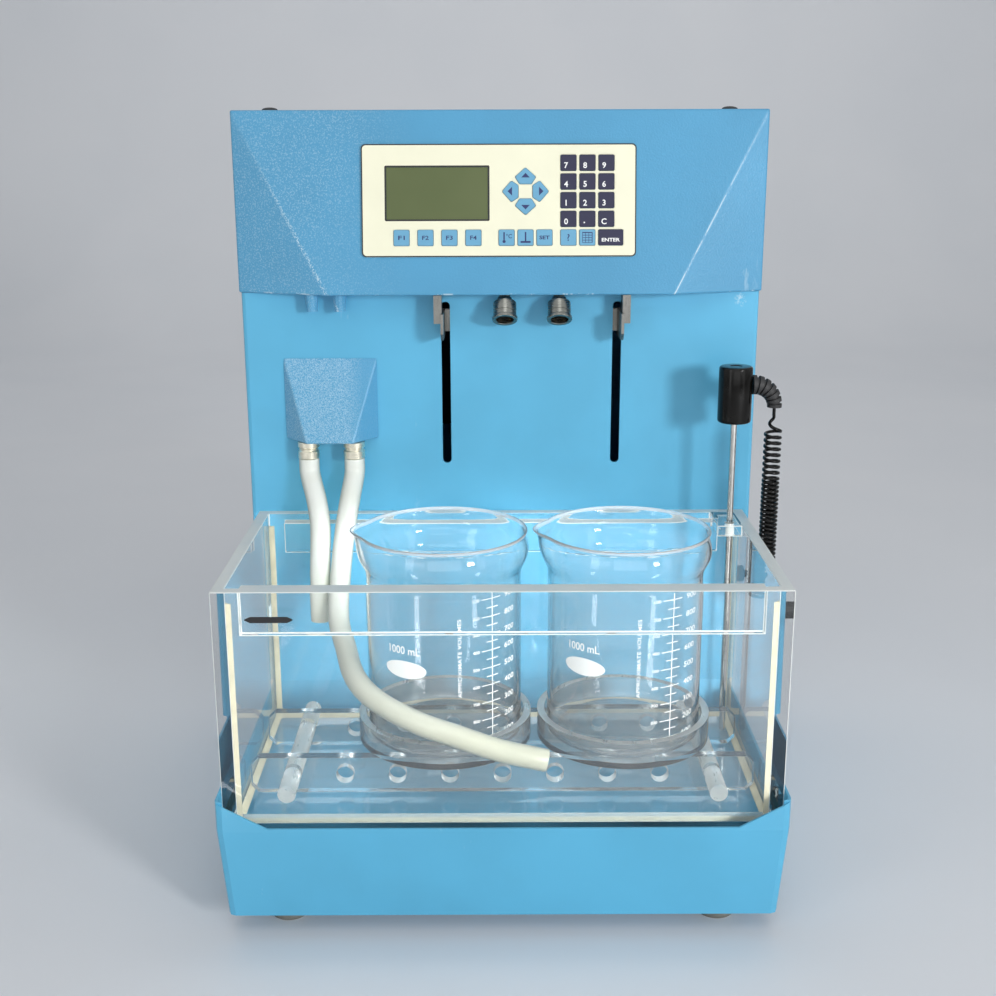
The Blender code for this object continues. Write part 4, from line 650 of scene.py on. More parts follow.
def head_paint(name):
    """Coarse hammered paint, worn bare along the face's creases and its lower edge, with painted glints in
    patches on the left of the face.
    """
    colour = tuple(colours().hood_paint)
    finish = Finish(name, colour, 0.42)
    clouds = finish.noise(11, 3)
    paint = finish.mixed(finish.ramp(clouds, 0.35, 0.65), tint(colour, 0.95), tint(colour, 1.05))
    place = finish.axes()
    side = finish.maths("ABSOLUTE", place["X"])
    height = finish.maths("SUBTRACT", HOOD_HIGH.z, place["Z"])
    slope = (HOOD_HIGH.x - 0.1224) / (HOOD_HIGH.z - HOOD_BOTTOM)
    crease = finish.maths("SUBTRACT", HOOD_HIGH.x, finish.times(height, slope))
    beside = finish.maths("ABSOLUTE", finish.maths("SUBTRACT", crease, side))
    grains = finish.noise(1000, 2, 0.6)
    right = finish.ramp(place["X"], -0.01, 0.01)
    rubbed = finish.ramp(finish.noise(90, 4, 0.6), 0.34, 0.5)
    clean = finish.times(finish.ramp(beside, 0.0002, 0.0007, 1, 0), rubbed)
    flecked = finish.times(finish.ramp(beside, 0.0004, 0.0024, 1, 0), finish.ramp(grains, 0.47, 0.58))
    side_share = finish.node("ShaderNodeMix", data_type="FLOAT")
    finish.link(right, side_share.inputs[0])
    finish.link(flecked, side_share.inputs[2])
    finish.link(clean, side_share.inputs[3])
    lower = finish.ramp(height, 0.012, 0.085, 0.12, 0.8)
    front = finish.ramp(place["Y"], 0.10, 0.14, 1, 0)
    edge = finish.times(side_share.outputs[0], finish.times(lower, front))
    above = finish.maths("SUBTRACT", place["Z"], HOOD_BOTTOM)
    hem = finish.times(finish.ramp(above, 0.0005, 0.0016, 1, 0), finish.ramp(above, -0.0007, -0.0004))
    chips = finish.times(hem, finish.ramp(finish.noise(70, 4, 0.7), 0.56, 0.62, 0, 0.8))
    scratch = finish.ramp(finish.noise(30, 5, 0.7, (1.6, 1, 0.35)), 0.60, 0.66, 0, 0.25)
    low_right = finish.times(finish.ramp(place["X"], 0.13, 0.15), finish.ramp(above, 0.02, 0.05, 1, 0))
    # Painted highlight: pale grains in patches on the left of the face are painted glints, standing in for
    # light sparkling on the hammered paint.
    left = finish.ramp(place["X"], -0.115, -0.060, 1, 0)
    patch = finish.ramp(finish.noise(9, 2), 0.30, 0.62, 0.35, 1)
    lit = finish.times(finish.times(left, patch), front)
    painted_sparks = finish.times(finish.ramp(grains, 0.50, 0.66), lit)
    worn = finish.most(finish.most(edge, chips), finish.times(scratch, low_right))
    # The pale colour serves both the real wear and the painted glints.
    pale = finish.most(worn, finish.times(painted_sparks, 0.30))
    finish.colour(finish.mixed(pale, paint, (0.55, 0.72, 0.80)))
    finish.rough(finish.ramp(grains, 0.3, 0.7, 0.34, 0.50))
    finish.bump(finish.noise(750, 2, 0.55), 0.0003, 0.6)
    return finish.material


def circulator_paint(name):
    """The head's hammered paint made a tenth lighter, a little more open in its grain, with painted glints
    that fade towards its right.
    """
    colour = tint(tuple(colours().hood_paint), 1.10)
    finish = Finish(name, colour, 0.42)
    grains = finish.noise(1300, 2, 0.6)
    place = finish.axes()
    # Painted highlight: pale grains are painted glints, standing in for light sparkling on the hammered
    # paint, and fade towards the right.
    front = finish.ramp(place["X"], PUMP_X + 0.012, PUMP_X + 0.024, 1, 0.15)
    painted_glints = finish.times(finish.ramp(grains, 0.44, 0.60, 0, 0.45), front)
    finish.colour(finish.mixed(painted_glints, colour, (0.62, 0.80, 0.87)))
    finish.rough(finish.ramp(grains, 0.3, 0.7, 0.34, 0.50))
    finish.bump(finish.noise(900, 2, 0.55), 0.0003, 0.7)
    return finish.material


def let_light_through(finish, colour, ends=True):
    """Lets lamps shine through a clear piece, and ends long chains of mirrorings in it."""
    tree = finish.tree
    path = finish.node("ShaderNodeLightPath")
    mirrored = finish.maths("GREATER_THAN", path.outputs["Glossy Depth"], 1.5 if ends else 90)
    lamp = finish.most(path.outputs["Is Shadow Ray"], mirrored)
    through = finish.node("ShaderNodeBsdfTransparent")
    through.inputs["Color"].default_value = (*colour, 1)
    mix = finish.node("ShaderNodeMixShader")
    output = tree.nodes["Material Output"]
    finish.link(lamp, mix.inputs["Fac"])
    finish.link(finish.shader.outputs["BSDF"], mix.inputs[1])
    finish.link(through.outputs["BSDF"], mix.inputs[2])
    finish.link(mix.outputs["Shader"], output.inputs["Surface"])


def clear_sheet(name, roughness=0.01, colour=(0.985, 0.99, 0.99), haze=0.012):
    """Acrylic sheet with the faint smears of long use."""
    finish = Finish(name, colour, roughness)
    finish.set(Transmission_Weight=1 - haze, IOR=1.49)
    smears = finish.ramp(finish.noise(24, 5, 0.7), 0.5, 0.8, roughness, roughness + 0.03)
    finish.rough(smears)
    let_light_through(finish, (0.895, 0.915, 0.92))
    return finish.material


def sawn_edge(name):
    """The milky edge that a saw and a file leave on acrylic."""
    finish = Finish(name, (0.95, 0.97, 0.95), 0.35)
    finish.set(Transmission_Weight=0.12, IOR=1.49)
    lines = finish.noise(160, 4, 0.7, (0.15, 0.15, 1))
    finish.colour(finish.mixed(finish.ramp(lines, 0.3, 0.7), (0.76, 0.80, 0.78), (0.86, 0.87, 0.82)))
    finish.rough(finish.ramp(lines, 0.35, 0.65, 0.3, 0.45))
    finish.bump(finish.noise(260, 3, 0.6), 0.00003, 0.25)
    let_light_through(finish, (0.85, 0.88, 0.88))
    return finish.material


def beaker_glass(name, haze=0.01):
    """Clear laboratory glass."""
    finish = Finish(name, (0.99, 0.997, 0.995), 0.0)
    finish.set(Transmission_Weight=1 - haze, IOR=1.47)
    finish.rough(finish.ramp(finish.noise(30, 3), 0.5, 0.8, 0.0, 0.015))
    let_light_through(finish, (0.94, 0.95, 0.95))
    return finish.material


def frosted(name):
    """Acrylic rod and sawn rims, rough all over but still clear in depth."""
    finish = Finish(name, (0.93, 0.96, 0.94), 0.35)
    finish.set(Transmission_Weight=0.78, IOR=1.49)
    lines = finish.noise(180, 4, 0.7, (1, 0.15, 1))
    finish.colour(finish.mixed(finish.ramp(lines, 0.3, 0.7), (0.88, 0.93, 0.91), (0.97, 0.98, 0.95)))
    finish.rough(finish.ramp(lines, 0.35, 0.65, 0.25, 0.45))
    let_light_through(finish, (0.85, 0.87, 0.87))
    return finish.material


def hose_silicone(name):
    """Milky soft tube, thicker to look through near its sides, where its colour is painted darker as painted
    shade.
    """
    finish = Finish(name, (0.90, 0.92, 0.84), 0.3)
    finish.set(Transmission_Weight=0.05, IOR=1.41)
    # Painted shade: the colour turns darker towards the tube's outlines, where its surface turns away from
    # the view.
    facing = finish.node("ShaderNodeLayerWeight")
    facing.inputs["Blend"].default_value = 0.5
    side = finish.ramp(facing.outputs["Facing"], 0.25, 0.85)
    haze = finish.ramp(finish.noise(40, 3), 0.35, 0.7)
    upper = finish.mixed(haze, (0.88, 0.91, 0.87), (0.83, 0.86, 0.79))
    place = finish.axes()
    near = finish.mixed(finish.ramp(place["Z"], 0.13, 0.21), (0.50, 0.505, 0.40), upper)
    finish.colour(finish.mixed(side, near, (0.44, 0.47, 0.41)))
    finish.rough(finish.ramp(finish.noise(90, 3), 0.3, 0.7, 0.28, 0.36))
    let_light_through(finish, (0.80, 0.80, 0.74), False)
    return finish.material


def silicone_bead(name):
    """Yellowed sealant, smoothed by a finger."""
    colour = tuple(colours().silicone)
    finish = Finish(name, colour, 0.5)
    streaks = finish.ramp(finish.noise(70, 4, 0.6), 0.35, 0.7)
    finish.colour(finish.mixed(streaks, tint(colour, 1.08), tint(colour, 0.88)))
    finish.rough(finish.ramp(finish.noise(150, 3), 0.3, 0.7, 0.35, 0.6))
    finish.bump(finish.noise(260, 3), 0.0002, 0.4)
    return finish.material


def drawn_metal(name, colour, roughness, stretch, scale=900):
    """Bare metal with fine lines along one direction and the marks of handling."""
    finish = Finish(name, colour, roughness, 1.0)
    lines = finish.noise(scale, 3, 0.6, stretch)
    stains = finish.ramp(finish.noise(120, 4, 0.65), 0.35, 0.7)
    finish.colour(finish.mixed(stains, tint(colour, 1.06), tint(colour, 0.82)))
    finish.rough(finish.ramp(lines, 0.3, 0.7, max(0.05, roughness - 0.07), roughness + 0.10))
    finish.bump(lines, 0.00003, 0.5)
    return finish.material


def moulded(name, colour, roughness, grain=1500, depth=0.00006, gloss=0.5):
    """Moulded plastic or rubber with a fine spark-eroded grain."""
    finish = Finish(name, colour, roughness)
    finish.set(Specular_IOR_Level=gloss)
    wear = finish.ramp(finish.noise(80, 5, 0.65), 0.45, 0.75)
    finish.colour(finish.mixed(wear, colour, tuple(value * 1.3 + 0.006 for value in colour)))
    finish.rough(finish.ramp(finish.noise(170, 3), 0.3, 0.7, roughness - 0.06, roughness + 0.08))
    finish.bump(finish.noise(grain, 2), depth, 0.5)
    return finish.material


def printed(name, colour, roughness=0.45):
    """Screen print or printed film, even all over but for a faint bloom."""
    finish = Finish(name, colour, roughness)
    bloom = finish.ramp(finish.noise(35, 4), 0.3, 0.7)
    finish.colour(finish.mixed(bloom, tint(colour, 0.975), tint(colour, 1.015)))
    finish.rough(finish.ramp(finish.noise(260, 3), 0.3, 0.7, roughness - 0.05, roughness + 0.05))
    finish.bump(finish.noise(1800, 2), 0.00002, 0.3)
    return finish.material


def display_glass(name):
    """A grey-green liquid crystal with its faint dot rows under a smooth window."""
    finish = Finish(name, (0.130, 0.162, 0.070), 0.12)
    place = finish.axes()
    pitch = 0.00055
    lines = [
        finish.maths("ABSOLUTE", finish.maths("SINE", finish.times(place[axis], math.pi / pitch)))
        for axis in ("X", "Z")
    ]
    dots = finish.ramp(finish.times(*lines), 0.25, 0.6)
    shade = finish.ramp(finish.noise(18, 2), 0.35, 0.65)
    ground = finish.mixed(shade, (0.108, 0.136, 0.050), (0.124, 0.152, 0.060))
    finish.colour(finish.mixed(finish.times(dots, 0.10), ground, (0.105, 0.130, 0.055)))
    finish.rough(finish.ramp(finish.noise(40, 3), 0.3, 0.7, 0.10, 0.2))
    return finish.material


FINISHES = {}

# How each finish is made, and from which values. A colour given as a word is one of the panel's.
RECIPES = {
    "head_paint": (head_paint,),
    "circulator_paint": (circulator_paint,),
    "tower_paint": (painted_sheet, "tower_paint", 0.5, (0.174, TOWER_FRONT, HOOD_BOTTOM - 0.006)),
    "base_paint": (painted_sheet, "base_paint"),
    "clear_sheet": (clear_sheet,),
    "rack_acrylic": (clear_sheet, 0.015, (0.98, 0.99, 0.985), 0.035),
    "glue_line": (clear_sheet, 0.1, (0.80, 0.86, 0.84), 0.3),
    "sawn_edge": (sawn_edge,),
    "frosted": (frosted,),
    "beaker_glass": (beaker_glass,),
    "beaker_lip": (beaker_glass, 0.3),
    "hose_silicone": (hose_silicone,),
    "silicone_bead": (silicone_bead,),
    "steel": (drawn_metal, (0.27, 0.265, 0.245), 0.3, (1, 1, 0.04)),
    "bright_steel": (drawn_metal, (0.62, 0.61, 0.58), 0.12, (1, 1, 0.03)),
    "nickel": (drawn_metal, (0.88, 0.83, 0.68), 0.3, (0.05, 0.05, 1), 1400),
    "shell_metal": (drawn_metal, (0.25, 0.25, 0.225), 0.27, (0.05, 0.05, 1), 1400),
    "brass": (drawn_metal, (0.72, 0.50, 0.26), 0.3, (1, 1, 0.1)),
    "zinc": (drawn_metal, (0.50, 0.50, 0.51), 0.38, (1, 0.05, 1), 500),
    "black_plastic": (moulded, (0.012, 0.012, 0.013), 0.36),
    "black_gloss": (moulded, (0.003, 0.0026, 0.002), 0.14, 1500, 0.00002, 0.22),
    "black_rubber": (moulded, (0.018, 0.018, 0.019), 0.62, 900, 0.0001),
    "foot_rubber": (moulded, (0.16, 0.16, 0.14), 0.6, 900, 0.0001),
    "overlay_sheet": (printed, "overlay"),
    "number_key": (printed, "number_keys"),
    "function_key": (printed, "function_keys"),
    "display_glass": (display_glass,),
    "white_print": (printed, (0.92, 0.93, 0.91)),
    "navy_print": (printed, (0.020, 0.030, 0.130)),
    "black_print": (printed, (0.01, 0.01, 0.011)),
}


def finish_named(name):
    """Each finish is made once, when it is first asked for."""
    if name not in FINISHES:
        make, *values = RECIPES[name]
        values = [tuple(getattr(colours(), item)) if isinstance(item, str) else item for item in values]
        FINISHES[name] = make(name, *values)
    return FINISHES[name]


def dressed(node, finish):
    """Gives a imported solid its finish."""
    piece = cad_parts[node]
    piece.data.materials.clear()
    coated(piece, finish)


# Operators


class TESTER_OT_stage(bpy.types.Operator):
    """Adds the camera, the pale floor and backdrop, and the soft studio lamps."""

    bl_idname = "tester.stage"
    bl_label = "Camera and studio"

    def execute(self, context):
        lens = bpy.data.cameras.new("front_camera")
        lens.lens = 48.37
        lens.sensor_width = 36.0
        lens.clip_start = 0.05
        lens.clip_end = 40.0
        camera = bpy.data.objects.new("front_camera", lens)
        context.scene.collection.objects.link(camera)
        pitch, yaw, roll = (math.radians(angle) for angle in (15.131, 0.1387, -0.1641))
        flat = math.cos(pitch)
        ahead = Vector((math.sin(yaw) * flat, math.cos(yaw) * flat, -math.sin(pitch)))
        level = Vector((math.cos(yaw), -math.sin(yaw), 0))
        above = level.cross(ahead)
        right = level * math.cos(roll) + above * math.sin(roll)
        top = above * math.cos(roll) - level * math.sin(roll)
        axes = Matrix((right, top, -ahead)).transposed().to_4x4()
        camera.matrix_world = Matrix.Translation((-0.00452, -0.95665, 0.50575)) @ axes
        context.scene.camera = camera

        self.sweep()

        world = bpy.data.worlds.new("studio")
        world.use_nodes = True
        tree = world.node_tree
        ground = tree.nodes["Background"]
        ground.inputs["Color"].default_value = (0.93, 0.96, 1.0, 1)
        ground.inputs["Strength"].default_value = 0.25
        seen = tree.nodes.new("ShaderNodeBackground")
        seen.inputs["Color"].default_value = (0.80, 0.83, 0.86, 1)
        seen.inputs["Strength"].default_value = 1.0
        path = tree.nodes.new("ShaderNodeLightPath")
        direct, through = (tree.nodes.new("ShaderNodeMath") for _ in range(2))
        direct.operation = through.operation = "MAXIMUM"
        mix = tree.nodes.new("ShaderNodeMixShader")
        tree.links.new(path.outputs["Is Camera Ray"], direct.inputs[0])
        tree.links.new(path.outputs["Is Glossy Ray"], direct.inputs[1])
        tree.links.new(direct.outputs[0], through.inputs[0])
        tree.links.new(path.outputs["Is Transmission Ray"], through.inputs[1])
        tree.links.new(through.outputs[0], mix.inputs["Fac"])
        tree.links.new(ground.outputs[0], mix.inputs[1])
        tree.links.new(seen.outputs[0], mix.inputs[2])
        tree.links.new(mix.outputs[0], tree.nodes["World Output"].inputs["Surface"])
        context.scene.world = world

        middle = (0, 0, 0.25)
        for name, power, width, height, place, target in (
            ("key_softbox", 26.0, 0.34, 0.34, (1.36, -1.87, 0.74), middle),
            ("high_softbox", 5.0, 0.9, 0.9, (0.1, -1.25, 1.75), middle),
            ("left_softbox", 3.0, 1.1, 1.1, (-1.3, -1.8, 1.0), middle),
            ("right_strip", 1.2, 0.35, 1.5, (1.30, -1.10, 0.62), middle),
            ("left_strip", 2.5, 0.35, 1.5, (-1.20, -1.35, 0.62), middle),
            ("low_softbox", 2.5, 1.6, 0.5, (0.1, -2.1, 0.42), middle),
            ("wall_softbox", 24.0, 3.0, 1.5, (0, 0.8, 2.8), (0, 2.8, 0.8)),
        ):
            aim = Vector(target) - Vector(place)
            self.lamp(context, name, power, width, height, place, aim.to_track_quat("-Z", "Y").to_euler())
        for name, x, turn in (("left_floor_strip", -0.33, -40), ("right_floor_strip", 0.37, 47)):
            self.lamp(context, name, 0.25, 0.05, 0.36, (x, -0.47, 0.004), (math.pi, 0, math.radians(turn)))
        context.scene.view_settings.view_transform = "Standard"
        return {"FINISHED"}

    def lamp(self, context, name, power, width, height, place, turn):
        lamp = bpy.data.lights.new(name, "AREA")
        lamp.shape = "RECTANGLE"
        lamp.energy = power
        lamp.size = width
        lamp.size_y = height
        holder = bpy.data.objects.new(name, lamp)
        holder.location = place
        holder.rotation_euler = turn
        context.scene.collection.objects.link(holder)

    def sweep(self):
        """A pale floor that curves up into the backdrop."""
        bend, rear, top, thick = 0.9, 3.0, 4.0, 0.05
        upper = [(-5.0, 0.0)]
        lower = [(-5.0, -thick)]
        for step in range(13):
            turn = math.radians(-90 + 90 * step / 12)
            along, up = math.cos(turn), 1 + math.sin(turn)
            upper.append((rear - bend + bend * along, bend * up))
            lower.append((rear - bend + (bend + thick) * along, bend * up - thick * (2 - up)))
        upper.append((rear, top))
        lower.append((rear + thick, top))
        floor = flat_shape("studio_floor", [upper + lower[::-1]], 14)
        moved(floor, frame_at((0, 0, 0), (0, 1, 0), (0, 0, 1)))
        bpy.ops.object.shade_smooth_by_angle(angle=math.radians(20))
        sheet = Finish("studio_floor", (0.80, 0.80, 0.80), 0.6)
        shade = sheet.ramp(sheet.noise(3, 2), 0.3, 0.7)
        sheet.colour(sheet.mixed(shade, (0.755, 0.775, 0.805), (0.785, 0.80, 0.825)))
        floor.data.materials.append(sheet.material)


class TESTER_OT_hoses(bpy.types.Operator):
    """Adds the two milky hoses that hang from the circulator into the bath."""

    bl_idname = "tester.hoses"
    bl_label = "Hoses"

    def execute(self, context):
        values = sizes()
        origin = Vector((PUMP_X, TANK_REAR, RIM))
        for name, side in (("suction_hose", -1), ("return_hose", 1)):
            top = Vector((PUMP_X + side * HOSE_SPREAD, HOSE_START_Y, HOSE_TOP))
            start = top - Vector((0, 0, HOSE_LEAD))
            knots = [start, *(origin + Vector(point) for point in HOSE_ROUTES[name])]
            points = [top, *smooth_route(knots, 3)]
            radius = values.hose_diameter / 2
            hose = swept(f"{name}_tube", points, radius, 6, capped=False)
            wall = hose.modifiers.new("wall", "SOLIDIFY")
            wall.thickness = values.hose_wall
            wall.offset = -1
            bpy.ops.object.modifier_apply(modifier=wall.name)
            softened(hose, 0.0004, 2, 60)
            finished(hose, "machine", "hose_silicone", (name,))
        return {"FINISHED"}


def cord_route(steps):
    """The curly cord's centreline from the boot to the plug, with so many points in a turn."""
    radius = sizes().cord_diameter / 2
    boot_end = BOOT_TOP - BOOT_BEND - BOOT_LEAD - GAP
    axis = Vector((COIL_X, PROBE.y, 0))
    straight = 2 * radius
    points = [raised(axis, boot_end), raised(axis, boot_end - straight)]

    def around(share, reach, height):
        arm = Vector((math.cos(math.tau * share), math.sin(math.tau * share), 0)) * reach
        return raised(axis + arm, height)

    drop = boot_end - 2 * straight - COIL_TOP
    for step in range(steps):
        share = step / steps
        swell = share * share * (3 - 2 * share)
        points.append(around(share, COIL_RADIUS * swell, COIL_TOP + drop * (1 - share)))
    height = COIL_TOP
    for turns, pitch in COIL_TURNS:
        for step in range(turns * steps):
            points.append(around(step / steps, COIL_RADIUS, height))
            height -= pitch / steps
    end = axis + Vector((COIL_RADIUS, 0, height))
    bottom = Vector((COIL_X, PROBE.y, end.z))
    plug_end = PLUG + Vector((PLUG_RELIEF + GAP, 0, 0))
    tail = [end, *(bottom + Vector(point) for point in CORD_TAIL)]
    tail += [
        plug_end + Vector((4 * straight, -straight / 2, 0)),
        plug_end + Vector((straight, 0, 0)),
        plug_end,
    ]
    points += smooth_route(tail, 4)
    return points


class TESTER_OT_cord(bpy.types.Operator):
    """Adds the probe's curly cord, its ribbed boot and the round plug on the tower's side."""

    bl_idname = "tester.cord"
    bl_label = "Curly cord"

    def execute(self, context):
        radius = sizes().cord_diameter / 2
        points = cord_route(16)
        cord = swept("curly_cord", points, radius, 2)
        bpy.ops.object.shade_smooth_by_angle(angle=math.radians(60))
        coated(cord, "black_gloss")
        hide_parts("probe_cord")
        plug = self.plug()
        boot = self.boot()
        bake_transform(cord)
        return {"FINISHED"}

    def boot(self):
        """A tapered elbow with open ribs, from the handle's side to straight down."""
        start_x = PROBE.x + HANDLE_RADIUS + GAP
        points = [Vector((start_x, PROBE.y, BOOT_TOP))]
        shares = [1.0]
        ribs = 6
        marks = (0.0, 0.30, 0.34, 0.66, 0.70)
        for rib in range(ribs):
            for mark in marks:
                share = (rib + mark) / ribs
                turn = math.radians(90) * share
                across = start_x + BOOT_LEAD + BOOT_BEND * math.sin(turn)
                points.append(Vector((across, PROBE.y, BOOT_TOP - BOOT_BEND * (1 - math.cos(turn)))))
                radius = BOOT_RADIUS + (BOOT_END - BOOT_RADIUS) * share
                shares.append((radius - (0.0014 if 0.32 < mark < 0.68 else 0)) / BOOT_RADIUS)
        points.append(Vector((COIL_X, PROBE.y, BOOT_TOP - BOOT_BEND)))
        points.append(Vector((COIL_X, PROBE.y, BOOT_TOP - BOOT_BEND - BOOT_LEAD)))
        shares += [BOOT_END / BOOT_RADIUS, BOOT_END / BOOT_RADIUS]
        boot = swept("probe_strain_relief", points, BOOT_RADIUS, 6, shares)
        return finished(boot, "probe", "black_rubber", ("probe_boot",))

    def plug(self):
        """A round plug with a knurled ring and a ribbed tail."""
        profile = [(0, PLUG_RELIEF)]
        for rib in range(4):
            low = PLUG_RELIEF - 0.0012 * rib
            radius = 0.0022 + 0.0003 * rib
            profile += [(radius, low), (radius, low - 0.0007), (radius - 0.0004, low - 0.0008)]
        profile += [
            (0.0034, 0.0130),
            (0.0058, 0.0130),
            (0.0065, 0.0122),
            (0.0065, 0.0050),
            (0.0080, 0.0050),
            (0.0080, 0.0),
            (0, 0),
        ]
        place = frame_at(PLUG, (0, 1, 0), (0, 0, 1))
        plug = spun("round_plug", profile, steps=48)
        with editing(plug):
            pick_faces(plug, self.knurl)
            bpy.ops.mesh.inset(thickness=0.0001, use_individual=True)
            bpy.ops.mesh.extrude_faces_move(
                TRANSFORM_OT_shrink_fatten={"value": -0.0003}
            )
        plug.matrix_world = place
        return finished(plug, "machine", "black_plastic", ("cord_plug",))

    @staticmethod
    def knurl(face):
        """Every other face of the collar and of the body."""
        middle = face.calc_center_median()
        if abs(face.normal.z) > 0.3 or middle.z > 0.0120 or middle.xy.length < 0.0060:
            return False
        return round(math.atan2(middle.y, middle.x) / math.tau * 48 + 0.5) % 2 == 0


class TESTER_OT_tank(bpy.types.Operator):
    """Adds the clear bath with its stiffening strips, corner beads and level mark."""

    bl_idname = "tester.tank"
    bl_label = "Water bath"

    def execute(self, context):
        inside = TANK_SIDE - TANK_WALL
        front, rear = TANK_FRONT + TANK_WALL, TANK_REAR - TANK_WALL
        tank = self.plate("bath_walls", TANK_LOW, TANK_HIGH, True)
        with editing(tank):
            pick_faces(tank, upward)
            bpy.ops.mesh.inset(thickness=TANK_WALL)
            depth = RIM - TANK_LOW.z - TANK_FLOOR
            pushed((0, 0, -depth))
        for face in tank.data.polygons:
            if face.normal.z < 0.9 or face.center.z < RIM - 0.01:
                face.material_index = 0
        strips = [
            ("front_strip", (-0.1635, front - 0.001, RIM - 0.030), (0.1635, front + 0.006, RIM), True),
            ("rear_strip", (-0.160, rear - 0.008, RIM - 0.028), (0.160, rear + 0.001, RIM - 0.005), True),
            (
                "probe_tab",
                (inside - 0.0175, rear - 0.0365, RIM - 0.008),
                (inside + 0.001, rear + 0.001, RIM),
                False,
            ),
        ]
        for strip in strips:
            combined(tank, self.plate(*strip), "UNION")
        hole = added_round("probe_hole", 0.0031, raised(PROBE, RIM - 0.02), raised(PROBE, RIM + 0.01))
        combined(tank, hole, "DIFFERENCE")
        edge = sizes().plate_edge
        softened(tank, edge, 2)
        thin_faces(tank, edge, 1)
        finished(tank, "machine", None, ("water_tank",), 12)

        self.beads(inside, front, rear)
        self.level_mark()
        self.floor_joint(inside, front)
        return {"FINISHED"}

    def plate(self, name, low, high, sawn):
        """A clear block, whose top keeps the marks of the saw where that is wanted."""
        block = added_block(name, low, high)
        coated(block, "clear_sheet", "sawn_edge")
        for face in block.data.polygons:
            face.material_index = int(sawn and face.normal.z > 0.9)
        return block

    def beads(self, inside, front, rear):
        """Hollow fillets of sealant in the bath's edges."""
        low = (-inside + GAP, front + GAP, TANK_LOW.z + TANK_FLOOR + GAP)
        high = (inside - GAP, rear - GAP, RIM - 0.0095)
        bead = added_block("corner_beads", low, high)
        poke = 0.0005
        room = added_block(
            "bead_room",
            (low[0] - poke, low[1] - poke, low[2] - poke),
            (high[0] + poke, high[1] + poke, high[2] + 0.05),
        )
        with editing(room, "EDGE"):
            pick_edges(
                room,
                lambda edge: all(vertex.co.z < RIM for vertex in edge.verts)
                or abs(edge.verts[0].co.z - edge.verts[1].co.z) > 0.01,
            )
            bpy.ops.mesh.bevel(offset=0.0065, segments=6, affect="EDGES")
        combined(bead, room, "DIFFERENCE")
        finished(bead, "machine", "silicone_bead", ("tank_seal",), 50)

    def floor_joint(self, inside, front):
        """The milky glued joint between the front wall and the bath's floor."""
        low = TANK_LOW.z + TANK_FLOOR + 0.0002
        side, height = inside - 0.004, 0.0064
        joint = added_block(
            "floor_joint", (-side, front + 0.0002, low), (side, front + 0.0008, low + height)
        )
        softened(joint, 0.0002, 2)
        finished(joint, "machine", "glue_line")

    def level_mark(self):
        """The long black mark for the water level on the front wall."""
        left, right, tip = -0.1595, -0.1295, 0.0035
        middle = RIM - 0.018
        half = 0.002
        mark = added_block(
            "level_mark",
            (left + tip, TANK_FRONT - 0.0003, middle - half),
            (right - tip, TANK_FRONT - 0.00005, middle + half),
        )
        with editing(mark):
            for sign, end in ((-1, left), (1, right)):
                pick_faces(mark, lambda face: face.normal.x * sign > 0.9)
                pushed((sign * tip, 0, 0))
                bpy.ops.transform.resize(value=(1, 1, 0.12), center_override=(end, TANK_FRONT, middle))
        finished(mark, "machine", "black_print")


class TESTER_OT_rack(bpy.types.Operator):
    """Adds the drilled rails, cross rods and dishes that carry the beakers."""

    bl_idname = "tester.rack"
    bl_label = "Beaker rack"

    def execute(self, context):
        low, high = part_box("beaker_rack")
        rail_low = TANK_LOW.z + TANK_FLOOR + GAP
        rail_high = rail_low + RAIL_HEIGHT
        middle = (rail_low + rail_high) / 2
        rails = [self.rail(TANK_FRONT + inset, rail_low, rail_high) for inset in RAIL_INSETS]
        rack = merged("rack_rails", rails)
        for x in (-ROD_X, ROD_X):
            rod = added_round("rod", 0.006, (x, low.y, middle), (x, high.y, middle), 40)
            combined(rack, rod, "UNION")
        for x in STATIONS.values():
            centre = Vector((x, STATION_Y, 0))
            foot, rim = raised(centre, rail_high - 0.0006), raised(centre, rail_high + 0.0174)
            dish = added_round("dish", 0.060, foot, rim, 96)
            with editing(dish):
                pick_faces(dish, upward)
                bpy.ops.mesh.inset(thickness=0.005)
                pushed((0, 0, -0.0153))
            combined(rack, dish, "UNION")
        softened(rack, 0.0005, 2, 40)
        coated(rack, "rack_acrylic", "frosted")
        for face in rack.data.polygons:
            drilled = face.center.z < rail_high - 0.004 and abs(face.normal.y) < 0.1 and face.area < 0.000012
            side = abs(face.normal.y) < 0.1
            end = face.center.y < low.y + 0.001 or face.center.y > high.y - 0.001
            around = abs(abs(face.center.x) - ROD_X) < 0.0061 and abs(face.center.z - middle) < 0.0061
            rod = around and (side or end)
            rim = face.normal.z > 0.9 and face.center.z > rail_high + 0.016
            face.material_index = int(drilled or rod or rim)
        thin_faces(rack, 0.0004, 1)
        finished(rack, "machine", None, ("beaker_rack",), 12)
        return {"FINISHED"}

    def rail(self, y, low, high):
        """A drilled rail with clipped corners."""
        rail = added_block("rail", (-0.170, y - 0.004, low), (0.170, y + 0.004, high))
        with editing(rail, "EDGE"):
            pick_edges(
                rail,
                lambda edge: abs(edge.verts[0].co.x) > 0.16
                and abs(edge.verts[0].co.y - edge.verts[1].co.y) > 0.001,
            )
            bpy.ops.mesh.bevel(offset=0.005, segments=1, affect="EDGES")
        middle = (low + high) / 2
        for hole in range(-3, 4):
            x = hole * 0.0355
            drill = added_round("drill", 0.006, (x, y - 0.01, middle), (x, y + 0.01, middle), 40)
            combined(rail, drill, "DIFFERENCE")
        return rail


